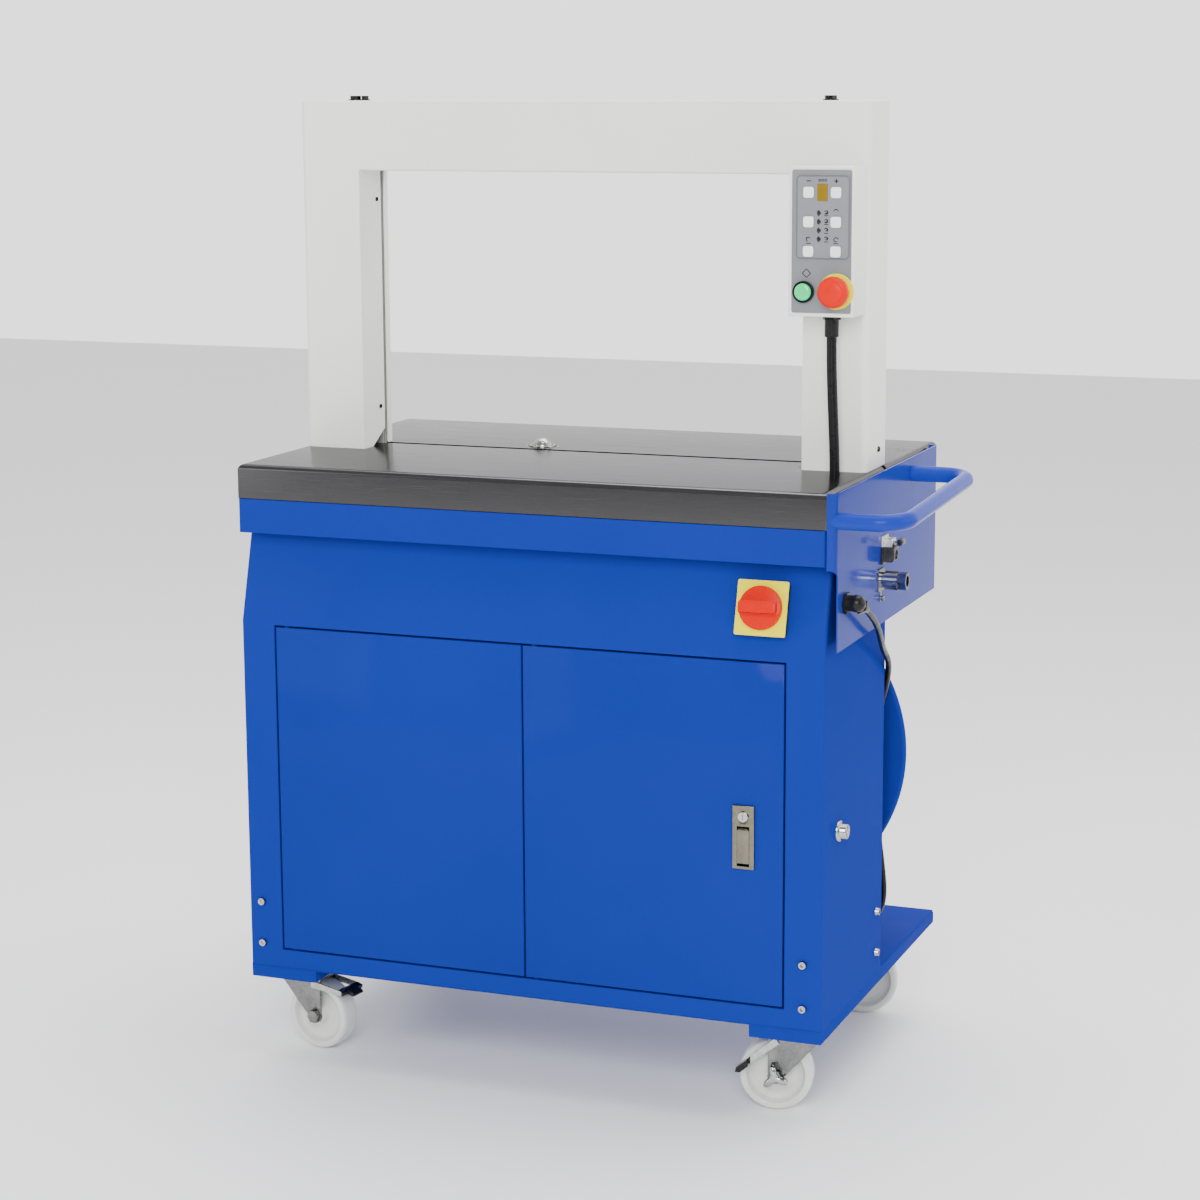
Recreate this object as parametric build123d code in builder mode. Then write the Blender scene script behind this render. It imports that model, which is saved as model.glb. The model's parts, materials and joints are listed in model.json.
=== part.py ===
"""Arch strapping machine on castors: a sheet-steel cabinet with a stainless table,
a rectangular strap arch, a strap reel behind the cabinet and a control box on the arch.

Measures are in millimetres.  Every piece is drawn in the machine's own measures:
x to the right from the middle of the arch, y back from the front edge of the table,
z up from the floor.  level(), facing() and side() put those measures in the part's frame,
whose origin lies on the floor under the middle of the whole machine.
"""
from build123d import *
from math import atan2, cos, degrees, pi, radians, sin, tan
import os

os.makedirs("parts", exist_ok=True)

# ---------------------------------------------------------------- driving dimensions
ARCH_X = -53.5            # middle of the arch, from the origin
FRONT_Y = -277.2          # front edge of the table, from the origin

SHEET = 2.0               # thickness of the folded sheet
HALF = 420.0              # half the width of the cabinet
FRONT = -3.0              # face of the cabinet and its doors
BODY_BACK = 286.0         # back of the cabinet
BODY_LOW = 143.0          # underside of the cabinet
BODY_TOP = 761.0          # top of the sloping fascia
FASCIA_LOW = 638.0        # where the fascia starts to slope
FASCIA_BACK = 31.0        # face of the fascia at its top
HOUSING_LOW = 645.0       # underside of the housing behind the cabinet
HOUSING_BACK = 545.0
TABLE_LOW = 808.0
TABLE_TOP = 855.0
TABLE_HALF = 421.0
TABLE_BACK = 546.0
PLATFORM_BACK = 579.0
RAIL_LOW = 123.5          # underside of the base rails, where the castors bolt on

STRAP_Y = 275.0           # plane of the strap
SLOT = 12.0               # width of the strap slot in the table and the arch

ARCH_OUT = 415.0          # half the outer width of the arch
ARCH_IN = 325.0           # half the package passage
ARCH_TOP = 1343.0
PASSAGE_TOP = 1247.0
ARCH_FRONT = 200.0
ARCH_BACK = 292.5

DOOR_HALF = 369.5         # half the width of the door opening
DOOR_LOW = 168.0
DOOR_HIGH = 634.0
DOOR_GAP = 3.0
DOOR_DEPTH = 18.0
DOOR_SHEET = 1.5
PIN_IN = 14.0             # hinge pin, in from the door's edge
PIN_BACK = 7.0            # hinge pin, back from the door's face
PIN_R = 4.0

FASCIA_TILT = degrees(atan2(FASCIA_BACK - FRONT, BODY_TOP - FASCIA_LOW))

CASTOR_HEIGHT = RAIL_LOW
CASTOR_TRAIL = 28.0
WHEEL_R = 50.0
WHEEL_HALF = 16.0
# name, place of the swivel, direction of the trail in degrees, has a brake
CASTORS = [
    ("front_left", -380.0, 90.0, -10.0, True),
    ("front_right", 362.0, 85.0, 190.0, True),
    ("rear_left", -380.0, 512.0, 12.0, False),
    ("rear_right", 362.0, 512.0, 194.0, False),
]

REEL_X = 205.0
REEL_Z = 440.0
REEL_R = 232.0


# ---------------------------------------------------------------- planes and helpers
def level(z):
    """Horizontal plane at height z, drawn in x and y."""
    return Plane(origin=(ARCH_X, FRONT_Y, z), x_dir=(1, 0, 0), z_dir=(0, 0, 1))


def facing(y):
    """Upright plane at depth y, drawn in x and z, extruded towards the front."""
    return Plane(origin=(ARCH_X, FRONT_Y + y, 0), x_dir=(1, 0, 0), z_dir=(0, -1, 0))


def side(x):
    """Upright plane across the machine at x, drawn in y and z, extruded to the right."""
    return Plane(origin=(ARCH_X + x, FRONT_Y, 0), x_dir=(0, 1, 0), z_dir=(1, 0, 0))


def slab(xs, ys, zs, mode=Mode.ADD):
    """Box between two values on each axis."""
    with BuildSketch(level(zs[0])) as section:
        with Locations(((xs[0] + xs[1]) / 2, (ys[0] + ys[1]) / 2)):
            Rectangle(xs[1] - xs[0], ys[1] - ys[0])
    extrude(section.sketch, amount=zs[1] - zs[0], mode=mode)


def disc(plane, centre, radius, length, mode=Mode.ADD):
    """Round bar standing on a plane at a point of it."""
    with BuildSketch(plane) as section:
        with Locations(centre):
            Circle(radius)
    extrude(section.sketch, amount=length, mode=mode)


def outline(plane, points, length, mode=Mode.ADD):
    """Bar with a polygon for its section, standing on a plane."""
    with BuildSketch(plane) as section:
        with BuildLine():
            Polyline(*points, close=True)
        make_face()
    extrude(section.sketch, amount=length, mode=mode)


def edges_along(part, axis, low, high):
    """Edges parallel to an axis whose middle lies between two corners of a box."""
    corner = Vector(ARCH_X, FRONT_Y, 0)
    found = ShapeList()
    for edge in part.edges().filter_by(axis):
        middle = edge.center() - corner
        inside = [low[0] <= middle.X <= high[0], low[1] <= middle.Y <= high[1], low[2] <= middle.Z <= high[2]]
        if all(inside):
            found.append(edge)
    return found


def keep(builder, name):
    """Label a finished piece and write it as its own STEP file."""
    builder.part.label = name
    export_step(builder.part, f"parts/{name}.step")


# ---------------------------------------------------------------- base
RAIL_WIDTH = 100.0
RAIL_WALL = 2.5
PLATE_LOW = 140.0

with BuildPart() as base_rails:
    for middle in (-HALF + RAIL_WIDTH / 2, HALF - RAIL_WIDTH / 2):
        left = middle - RAIL_WIDTH / 2
        right = middle + RAIL_WIDTH / 2
        slab((left, right), (0, PLATFORM_BACK), (RAIL_LOW, PLATE_LOW))
        slab(
            (left + RAIL_WALL, right - RAIL_WALL),
            (RAIL_WALL, PLATFORM_BACK + 1),
            (RAIL_LOW + RAIL_WALL, PLATE_LOW - RAIL_WALL),
            mode=Mode.SUBTRACT,
        )
    fillet(edges_along(base_rails, Axis.Y, (-500, 0, RAIL_LOW - 1), (500, 600, RAIL_LOW + 1)), radius=1.5)
keep(base_rails, "base_rails")

with BuildPart() as base_plate:
    slab((-HALF, HALF), (0, PLATFORM_BACK), (PLATE_LOW, BODY_LOW))
    fillet(edges_along(base_plate, Axis.Z, (-500, 500, 0), (500, 600, 200)), radius=5)
keep(base_plate, "base_plate")

# ---------------------------------------------------------------- cabinet
SLOPE = (FASCIA_BACK - FRONT) / (BODY_TOP - FASCIA_LOW)
FASCIA_RUN = SHEET / cos(radians(FASCIA_TILT))


def cabinet_profile(inset, back, low, high):
    """Side view of the cabinet, its front moved back by inset along y."""
    return [
        (FRONT + inset[0], low),
        (back, low),
        (back, high),
        (FRONT + inset[1] + (high - FASCIA_LOW) * SLOPE, high),
        (FRONT + inset[0], FASCIA_LOW - (inset[1] - inset[0]) / SLOPE),
    ]


POST_HALF = 25.0
POST_FRONT = 26.0
POST_BACK = 46.0
FLANGE_BACK = 17.0
RIGHT_PIN_X = 2.0 + PIN_IN
LEFT_PIN_X = -DOOR_HALF + DOOR_GAP + PIN_IN
PIN_Y = FRONT + PIN_BACK
PIN_CLEARANCE = 0.06

with BuildPart() as cabinet_shell:
    outline(side(-HALF), cabinet_profile((0, 0), BODY_BACK, BODY_LOW, BODY_TOP), 2 * HALF)
    corners = cabinet_shell.edges().filter_by(lambda e: abs(e.tangent_at(0.5).X) < 0.1)
    corners = corners.filter_by(lambda e: e.center().Y - FRONT_Y < 20 and e.length > 100)
    fillet(corners, radius=5)
    inner = cabinet_profile((SHEET, FASCIA_RUN), BODY_BACK + 5, BODY_LOW - 5, BODY_TOP + 5)
    outline(side(-HALF + SHEET), inner, 2 * (HALF - SHEET), mode=Mode.SUBTRACT)
    # opening for the two doors, with a flange folded back all round it
    slab((-DOOR_HALF, DOOR_HALF), (FRONT - 5, FLANGE_BACK), (DOOR_LOW, DOOR_HIGH), mode=Mode.SUBTRACT)
    for edge in (DOOR_LOW - SHEET, DOOR_HIGH):
        slab((-DOOR_HALF - SHEET, DOOR_HALF + SHEET), (FRONT + 1, FLANGE_BACK), (edge, edge + SHEET))
        slab((-POST_HALF, POST_HALF), (FLANGE_BACK - 1, POST_BACK), (edge, edge + SHEET))
    for edge in (-DOOR_HALF - SHEET, DOOR_HALF):
        slab((edge, edge + SHEET), (FRONT + 1, FLANGE_BACK), (DOOR_LOW - SHEET, DOOR_HIGH + SHEET))
    # middle post that the right door hinges at
    slab((-POST_HALF, POST_HALF), (POST_FRONT, POST_BACK), (BODY_LOW, DOOR_HIGH + 30))
    slab(
        (-POST_HALF + SHEET, POST_HALF - SHEET),
        (POST_FRONT + SHEET, POST_BACK + 1),
        (BODY_LOW + SHEET, DOOR_HIGH + 28),
        mode=Mode.SUBTRACT,
    )
    for pin_x in (LEFT_PIN_X, RIGHT_PIN_X):
        disc(level(DOOR_LOW - 10), (pin_x, PIN_Y), PIN_R + PIN_CLEARANCE, DOOR_HIGH - DOOR_LOW + 20, mode=Mode.SUBTRACT)
    # bottom lips that the shell bolts down by
    for edge in (-HALF + 1, HALF - 26):
        slab((edge, edge + 25), (20, BODY_BACK - 10), (BODY_LOW, BODY_LOW + SHEET))
    # round holes for the side lock and the bolts of the reel side
    disc(side(HALF - 20), (73.0, 396.0), 9.2, 40, mode=Mode.SUBTRACT)
keep(cabinet_shell, "cabinet_shell")

with BuildPart() as rear_panel:
    slab(
        (-HALF + SHEET + 0.2, HALF - SHEET - 0.2),
        (BODY_BACK - SHEET, BODY_BACK),
        (BODY_LOW + 0.2, HOUSING_LOW - 0.5),
    )
    for foot in (BODY_LOW + 0.2, HOUSING_LOW - 0.5 - SHEET):
        slab((-390, 390), (BODY_BACK - 15, BODY_BACK - 1), (foot, foot + SHEET))
keep(rear_panel, "rear_panel")

LIP_BACK = 50.0
with BuildPart() as upper_housing:
    profile = [
        (FRONT, BODY_TOP + 0.2),
        (BODY_BACK + 0.2, BODY_TOP + 0.2),
        (BODY_BACK + 0.2, HOUSING_LOW),
        (HOUSING_BACK, HOUSING_LOW),
        (HOUSING_BACK, TABLE_LOW - 0.2),
        (FRONT, TABLE_LOW - 0.2),
    ]
    outline(side(-HALF), profile, 2 * HALF)
    fillet(edges_along(upper_housing, Axis.Z, (-500, -10, 0), (500, 10, 900)), radius=4)
    fillet(edges_along(upper_housing, Axis.Z, (-500, 500, 0), (500, 600, 900)), radius=4)
    slab(
        (-HALF + SHEET, HALF - SHEET),
        (FRONT + SHEET, HOUSING_BACK - SHEET),
        (HOUSING_LOW - 5, TABLE_LOW + 5),
        mode=Mode.SUBTRACT,
    )
    slab((-HALF + 1, HALF - 1), (FRONT + 1, LIP_BACK), (BODY_TOP + 0.2, BODY_TOP + 0.2 + SHEET))
keep(upper_housing, "upper_housing")

# ---------------------------------------------------------------- bracket plate and push handle
BRACKET_IN = 421.6
BRACKET_OUT = 434.0
BRACKET_LOW = 649.0
BRACKET_TOP = 856.0
BRACKET_BACK = 500.0
BRACKET_ROUND = 8.0
HANDLE_X = 517.0
HANDLE_R = 11.0
HANDLE_FRONT = (8.0, 820.0)
HANDLE_REAR = (366.0, 833.0)
HANDLE_BEND = 38.0


def bracket_block(inset, low, high, mode=Mode.ADD):
    """Upright block in the plan of the bracket plate, with its outer corners rounded."""
    front = FRONT + inset
    back = BRACKET_BACK - inset
    left = BRACKET_IN - 4 * inset
    right = BRACKET_OUT - inset
    with BuildSketch(level(low)) as plan:
        with Locations(((left + right) / 2, (front + back) / 2)):
            Rectangle(right - left, back - front)
        front_corner = plan.vertices().sort_by(Axis.X)[-2:].sort_by(Axis.Y)[0]
        fillet(front_corner, radius=BRACKET_ROUND - inset)
        back_corner = plan.vertices().sort_by(Axis.Y)[-2:].sort_by(Axis.X)[-1]
        fillet(back_corner, radius=4 - inset)
    extrude(plan.sketch, amount=high - low, mode=mode)


with BuildPart() as bracket_plate:
    bracket_block(0, BRACKET_LOW, BRACKET_TOP)
    bracket_block(SHEET, BRACKET_LOW - 5, BRACKET_TOP + 5, mode=Mode.SUBTRACT)
    # below the housing's front edge the plate stops short of the sloping fascia
    outline(
        side(BRACKET_IN - 5),
        [(FRONT - 5, BRACKET_LOW - 5), (8, BRACKET_LOW - 5), (8, BODY_TOP - 12), (FRONT - 5, BODY_TOP)],
        40,
        mode=Mode.SUBTRACT,
    )
keep(bracket_plate, "bracket_plate")

with BuildPart() as push_handle:
    root_x = BRACKET_OUT - 8
    with BuildLine():
        bar = FilletPolyline(
            (ARCH_X + root_x, FRONT_Y + HANDLE_FRONT[0], HANDLE_FRONT[1]),
            (ARCH_X + HANDLE_X, FRONT_Y + HANDLE_FRONT[0], HANDLE_FRONT[1]),
            (ARCH_X + HANDLE_X, FRONT_Y + HANDLE_REAR[0], HANDLE_REAR[1]),
            (ARCH_X + root_x, FRONT_Y + HANDLE_REAR[0], HANDLE_REAR[1]),
            radius=HANDLE_BEND,
        )
    with BuildSketch(Plane(origin=bar @ 0, z_dir=(1, 0, 0))):
        Circle(HANDLE_R)
        Circle(HANDLE_R - SHEET, mode=Mode.SUBTRACT)
    sweep(path=bar)
    # both ends are cut to the shape of the plate that they are welded to
    bracket_block(-0.02, BRACKET_LOW, BRACKET_TOP, mode=Mode.SUBTRACT)
keep(push_handle, "push_handle")

# ---------------------------------------------------------------- table
TABLE_SHEET = 2.0
BULLNOSE = 8.0
CABLE_X = 379.0
CABLE_Y = 175.0
BALL_X = -98.0
BALL_Y = 315.0
BALL_R = 15.0
SLOT_LIP = 12.0
SMALL_HOLES = ((394.0, 435.0), (403.5, 432.0))


def table_half(name, near, far, open_at_back):
    """Stainless tray upside down: top, end skirts and one long skirt, with a short lip at the slot."""
    with BuildPart() as tray:
        slab((-TABLE_HALF, TABLE_HALF), (near, far), (TABLE_LOW, TABLE_TOP))
        outer = near if open_at_back else far
        rim = edges_along(tray, Axis.X, (-9, outer - 1, TABLE_TOP - 1), (9, outer + 1, TABLE_TOP + 1))
        rim += edges_along(tray, Axis.Y, (-500, near, TABLE_TOP - 1), (500, far, TABLE_TOP + 1))
        fillet(rim, radius=BULLNOSE)
        walls = TABLE_HALF - TABLE_SHEET
        low_y = near + TABLE_SHEET if open_at_back else near - 5
        high_y = far + 5 if open_at_back else far - TABLE_SHEET
        slab((-walls, walls), (low_y, high_y), (TABLE_LOW - 5, TABLE_TOP - BULLNOSE), mode=Mode.SUBTRACT)
        low_y = near + BULLNOSE if open_at_back else near - 5
        high_y = far + 5 if open_at_back else far - BULLNOSE
        walls = TABLE_HALF - BULLNOSE
        slab((-walls, walls), (low_y, high_y), (TABLE_TOP - BULLNOSE - 1, TABLE_TOP - TABLE_SHEET), mode=Mode.SUBTRACT)
        lip = (far - TABLE_SHEET, far) if open_at_back else (near, near + TABLE_SHEET)
        slab((-TABLE_HALF + BULLNOSE, TABLE_HALF - BULLNOSE), lip, (TABLE_TOP - SLOT_LIP, TABLE_TOP - 1))
        if open_at_back:
            disc(level(TABLE_TOP - 30), (CABLE_X, CABLE_Y), 7.5, 60, mode=Mode.SUBTRACT)
            disc(level(TABLE_TOP - 30), (315.0, 225.0), 2.5, 60, mode=Mode.SUBTRACT)
        else:
            disc(level(TABLE_TOP - 30), (BALL_X, BALL_Y), 20.0, 60, mode=Mode.SUBTRACT)
            for x in (BALL_X - 24, BALL_X + 24):
                disc(level(TABLE_TOP - 30), (x, BALL_Y), 3.4, 60, mode=Mode.SUBTRACT)
            for post in (-1, 1):
                foot = sorted((post * (ARCH_IN - 0.5), post * (ARCH_OUT + 0.5)))
                notch = (TABLE_TOP - BULLNOSE - 5, TABLE_TOP + 1)
                slab(foot, (near - 1, ARCH_BACK + 0.5), notch, mode=Mode.SUBTRACT)
            for spot in SMALL_HOLES:
                disc(level(TABLE_TOP - 5), spot, 2.0, 10, mode=Mode.SUBTRACT)
    keep(tray, name)


table_half("table_front", 0.0, STRAP_Y - SLOT / 2, True)
table_half("table_rear", STRAP_Y + SLOT / 2, TABLE_BACK, False)

with BuildPart() as ball_seat:
    disc(level(TABLE_TOP - 4), (BALL_X, BALL_Y), 19.5, 5.5)
    disc(level(TABLE_TOP - 22), (BALL_X, BALL_Y), 17.0, 22.5)
    fillet(ball_seat.edges().group_by(Axis.Z)[-1], radius=0.6)
    disc(level(TABLE_TOP - 20), (BALL_X, BALL_Y), BALL_R + 0.4, 40, mode=Mode.SUBTRACT)
keep(ball_seat, "ball_seat")

BALL_Z = TABLE_TOP - 3.0
with BuildPart() as ball_switch:
    with Locations((ARCH_X + BALL_X, FRONT_Y + BALL_Y, BALL_Z)):
        Sphere(BALL_R)
    slab((BALL_X - 20, BALL_X + 20), (BALL_Y - 20, BALL_Y + 20), (BALL_Z - 20, BALL_Z - 9), mode=Mode.SUBTRACT)
keep(ball_switch, "ball_switch")

# ---------------------------------------------------------------- arch
ARCH_WALL = 2.0
COVER_BACK = ARCH_BACK - ARCH_WALL
GAP_FRONT = STRAP_Y - SLOT / 2
GAP_BACK = STRAP_Y + SLOT / 2


def arch_outline(out, top, inside, passage, low):
    """The arch seen from the front: two posts and a beam."""
    return [
        (-out, low),
        (-out, top),
        (out, top),
        (out, low),
        (inside, low),
        (inside, passage),
        (-inside, passage),
        (-inside, low),
    ]


with BuildPart() as arch_front_cover:
    face = arch_outline(ARCH_OUT, ARCH_TOP, ARCH_IN, PASSAGE_TOP, TABLE_TOP)
    outline(facing(COVER_BACK), face, COVER_BACK - ARCH_FRONT)
    front_rim = arch_front_cover.faces().sort_by(Axis.Y)[0].edges()
    sides = front_rim.filter_by(Axis.Z).filter_by(lambda e: abs(e.center().X - ARCH_X) > 400)
    fillet(sides, radius=10)
    beam = arch_front_cover.faces().sort_by(Axis.Y)[0].edges()
    fillet(beam.filter_by(lambda e: abs(e.center().Z - PASSAGE_TOP) < 1), radius=4)
    fillet(edges_along(arch_front_cover, Axis.Y, (-500, 150, ARCH_TOP - 1), (500, 300, ARCH_TOP + 1)), radius=2.5)
    hollow = arch_outline(ARCH_OUT - ARCH_WALL, ARCH_TOP - ARCH_WALL, ARCH_IN + ARCH_WALL, PASSAGE_TOP + ARCH_WALL, 0)
    outline(facing(COVER_BACK + 5), hollow, COVER_BACK + 5 - ARCH_FRONT - 8, mode=Mode.SUBTRACT)
    shallow = arch_outline(ARCH_OUT - 9, ARCH_TOP - 4, ARCH_IN + 5, PASSAGE_TOP + 6, 0)
    outline(facing(ARCH_FRONT + 12), shallow, 12 - ARCH_WALL, mode=Mode.SUBTRACT)
    # the walls round the passage stop at the strap gap
    slab(
        (-ARCH_IN - 5, ARCH_IN + 5),
        (GAP_FRONT, COVER_BACK + 1),
        (TABLE_TOP - 1, PASSAGE_TOP + ARCH_WALL + 1),
        mode=Mode.SUBTRACT,
    )
    # slanted notch at the foot of each inner wall
    for wall in (-ARCH_IN - 4, ARCH_IN - 4):
        outline(
            side(wall),
            [(GAP_FRONT + 1, TABLE_TOP - 1), (GAP_FRONT + 1, 878), (228, TABLE_TOP - 1)],
            8,
            mode=Mode.SUBTRACT,
        )
keep(arch_front_cover, "arch_front_cover")

with BuildPart() as arch_rear_cover:
    back = arch_outline(ARCH_OUT - 0.5, ARCH_TOP - 0.5, ARCH_IN, PASSAGE_TOP, TABLE_TOP)
    outline(facing(ARCH_BACK), back, ARCH_WALL - 0.2)
    lip = arch_outline(ARCH_IN + ARCH_WALL, PASSAGE_TOP + ARCH_WALL, ARCH_IN, PASSAGE_TOP, TABLE_TOP)
    outline(facing(ARCH_BACK - 1), lip, ARCH_BACK - 1 - GAP_BACK)
keep(arch_rear_cover, "arch_rear_cover")

TRACK_SET_BACK = 3.0
TRACK_DEEP = 20.0
TRACK_HALF = 5.6
with BuildPart() as strap_track:
    bar = arch_outline(
        ARCH_IN + TRACK_DEEP, PASSAGE_TOP + TRACK_DEEP, ARCH_IN + TRACK_SET_BACK, PASSAGE_TOP + TRACK_SET_BACK, 830
    )
    outline(facing(STRAP_Y + TRACK_HALF), bar, 2 * TRACK_HALF)
    groove = arch_outline(
        ARCH_IN + TRACK_SET_BACK + 6, PASSAGE_TOP + TRACK_SET_BACK + 6, ARCH_IN - 2, PASSAGE_TOP - 2, 800
    )
    outline(facing(STRAP_Y + 4), groove, 8, mode=Mode.SUBTRACT)
keep(strap_track, "strap_track")

# ---------------------------------------------------------------- control box
BOX_X = (323.0, 411.0)
BOX_Z = (1066.0, 1260.0)
BOX_FRONT = 140.0
BOX_WALL = 2.5
PLATE_X = (328.0, 408.5)
PLATE_Z = (1071.0, 1256.0)
PLATE_THICK = 1.5
PAD_X = (334.0, 406.5)
PAD_Z = (1141.0, 1249.0)
PAD_THICK = 1.2
KEY = 13.5
KEY_XS = (351.0, 388.0)
KEY_ZS = (1227.0, 1189.0, 1151.0)
DISPLAY = (369.5, 1227.0)
LAMP_X = 365.3
LAMP_ZS = (1200.5, 1189.3, 1178.1, 1166.9)
START = (345.2, 1098.5)
STOP = (389.4, 1099.6)
CONDUIT_X = 372.5

with BuildPart() as control_box:
    slab(BOX_X, (BOX_FRONT, ARCH_FRONT - 0.2), BOX_Z)
    fillet(control_box.faces().sort_by(Axis.Y)[0].edges(), radius=2)
    slab(
        (BOX_X[0] + BOX_WALL, BOX_X[1] - BOX_WALL),
        (BOX_FRONT + BOX_WALL, ARCH_FRONT + 1),
        (BOX_Z[0] + BOX_WALL, BOX_Z[1] - BOX_WALL),
        mode=Mode.SUBTRACT,
    )
    for centre in (START, STOP):
        disc(facing(BOX_FRONT + 10), centre, 11.3, 20, mode=Mode.SUBTRACT)
    disc(level(BOX_Z[0] - 5), (CONDUIT_X, CABLE_Y), 8.1, 12, mode=Mode.SUBTRACT)
keep(control_box, "control_box")

with BuildPart() as control_plate:
    slab(PLATE_X, (BOX_FRONT - PLATE_THICK, BOX_FRONT - 0.02), PLATE_Z)
    fillet(edges_along(control_plate, Axis.Y, (0, 0, 0), (500, 500, 2000)), radius=3)
    for centre in (START, STOP):
        disc(facing(BOX_FRONT + 10), centre, 11.3, 20, mode=Mode.SUBTRACT)
keep(control_plate, "control_plate")

PLATE_FACE = BOX_FRONT - PLATE_THICK
PAD_FACE = PLATE_FACE - PAD_THICK
with BuildPart() as keypad_membrane:
    slab(PAD_X, (PAD_FACE, PLATE_FACE - 0.02), PAD_Z)
    fillet(edges_along(keypad_membrane, Axis.Y, (0, 0, 0), (500, 500, 2000)), radius=4)
    for x in KEY_XS:
        for z in KEY_ZS:
            slab((x - KEY / 2, x + KEY / 2), (PAD_FACE - 1.2, PAD_FACE + 0.2), (z - KEY / 2, z + KEY / 2))
    caps = keypad_membrane.edges().filter_by(lambda e: e.center().Y - FRONT_Y < PAD_FACE - 1.1)
    chamfer(caps, length=0.9)
    slab((DISPLAY[0] - 7.2, DISPLAY[0] + 7.2), (100, 150), (DISPLAY[1] - 11.2, DISPLAY[1] + 11.2), mode=Mode.SUBTRACT)
    for z in LAMP_ZS:
        disc(facing(150), (LAMP_X, z), 2.7, 50, mode=Mode.SUBTRACT)
keep(keypad_membrane, "keypad_membrane")

with BuildPart() as display_window:
    slab((DISPLAY[0] - 7, DISPLAY[0] + 7), (PAD_FACE - 0.4, PLATE_FACE - 0.02), (DISPLAY[1] - 11, DISPLAY[1] + 11))
    fillet(edges_along(display_window, Axis.Y, (0, 0, 0), (500, 500, 2000)), radius=1.5)
keep(display_window, "display_window")

with BuildPart() as status_lamps:
    for z in LAMP_ZS:
        disc(facing(PLATE_FACE - 0.02), (LAMP_X, z), 2.5, 1.6)
    fillet(status_lamps.edges().group_by(Axis.Y)[0], radius=0.8)
keep(status_lamps, "status_lamps")

STEM_R = 8.0
STEM_GAP = 0.08
BARREL_BACK = 172.0


def barrel(centre, flange_r, flange_t, lens_r):
    """Collar on the front of the panel with a hollow barrel behind it."""
    disc(facing(PLATE_FACE - 0.02), centre, flange_r, flange_t)
    disc(facing(BARREL_BACK), centre, 11.0, BARREL_BACK - PLATE_FACE + 1)
    disc(facing(BARREL_BACK + 1), centre, STEM_R + STEM_GAP, 60, mode=Mode.SUBTRACT)
    if lens_r:
        disc(facing(PLATE_FACE - 1.5), centre, lens_r, 30, mode=Mode.SUBTRACT)


with BuildPart() as start_bezel:
    barrel(START, 14.2, 6.5, 11.4)
    fillet(start_bezel.edges().group_by(Axis.Y)[0], radius=1.0)
keep(start_bezel, "start_bezel")

START_TRAVEL = 3.0
with BuildPart() as start_button:
    disc(facing(PLATE_FACE - 5), START, 11.1, 5)
    fillet(start_button.faces().sort_by(Axis.Y)[0].edges(), radius=1.8)
    disc(facing(BARREL_BACK - 6), START, STEM_R, BARREL_BACK - 6 - PLATE_FACE + 6)
keep(start_button, "start_button")

with BuildPart() as stop_collar:
    barrel(STOP, 23.5, 3.0, 0)
    fillet(stop_collar.edges().group_by(Axis.Y)[0], radius=1.0)
keep(stop_collar, "stop_collar")

STOP_TRAVEL = 5.0
HEAD_R = 20.5
with BuildPart() as stop_button:
    with BuildSketch(Plane(origin=(ARCH_X + STOP[0], FRONT_Y, STOP[1]), x_dir=(1, 0, 0), z_dir=(0, 0, 1))):
        with BuildLine():
            head = Polyline(
                (0, BARREL_BACK - 8),
                (STEM_R, BARREL_BACK - 8),
                (STEM_R, PLATE_FACE - 8.5),
                (14.0, PLATE_FACE - 8.5),
                (14.0, PLATE_FACE - 12),
                (HEAD_R - 1.0, PLATE_FACE - 12),
                (HEAD_R, PLATE_FACE - 13),
                (HEAD_R, PLATE_FACE - 19),
            )
            shoulder = TangentArc(head @ 1, (HEAD_R - 5, PLATE_FACE - 25), tangent=(0, -1))
            crown = Polyline(shoulder @ 1, (0, PLATE_FACE - 26))
            Line(crown @ 1, head @ 0)
        make_face()
    revolve(axis=Axis((ARCH_X + STOP[0], FRONT_Y, STOP[1]), (0, 1, 0)))
keep(stop_button, "stop_button")

GLAND_TOP = BOX_Z[0]
with BuildPart() as control_gland:
    with BuildSketch(level(GLAND_TOP - 6)):
        with Locations((CONDUIT_X, CABLE_Y)):
            RegularPolygon(radius=12.5, side_count=6)
    extrude(amount=5.9)
    disc(level(GLAND_TOP - 29), (CONDUIT_X, CABLE_Y), 9.4, 24)
    disc(level(GLAND_TOP - 1), (CONDUIT_X, CABLE_Y), 8.0, 12)
    fillet(control_gland.edges().group_by(Axis.Z)[0], radius=1.5)
    disc(level(GLAND_TOP - 40), (CONDUIT_X, CABLE_Y), 6.85, 80, mode=Mode.SUBTRACT)
keep(control_gland, "control_gland")

CONDUIT_R = 6.75
CONDUIT_ROUTE = [
    (CONDUIT_X, CABLE_Y, 1074),
    (CONDUIT_X, CABLE_Y, 1010),
    (CONDUIT_X + 2.5, CABLE_Y - 1, 950),
    (CABLE_X - 1, CABLE_Y - 1, 893),
    (CABLE_X, CABLE_Y, 832),
]


def route_radii(points):
    """Largest tangent arc at each corner: 0.45 of the shorter run over the tangent of half the turn."""
    radii = []
    for before, at, after in zip(points, points[1:], points[2:]):
        run_in = Vector(*at) - Vector(*before)
        run_out = Vector(*after) - Vector(*at)
        turn = radians(run_in.get_angle(run_out))
        radii.append(0.45 * min(run_in.length, run_out.length) / tan(turn / 2))
    return radii


def placed(points):
    """Machine measures moved to the part's frame."""
    return [(x + ARCH_X, y + FRONT_Y, z) for x, y, z in points]


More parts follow.
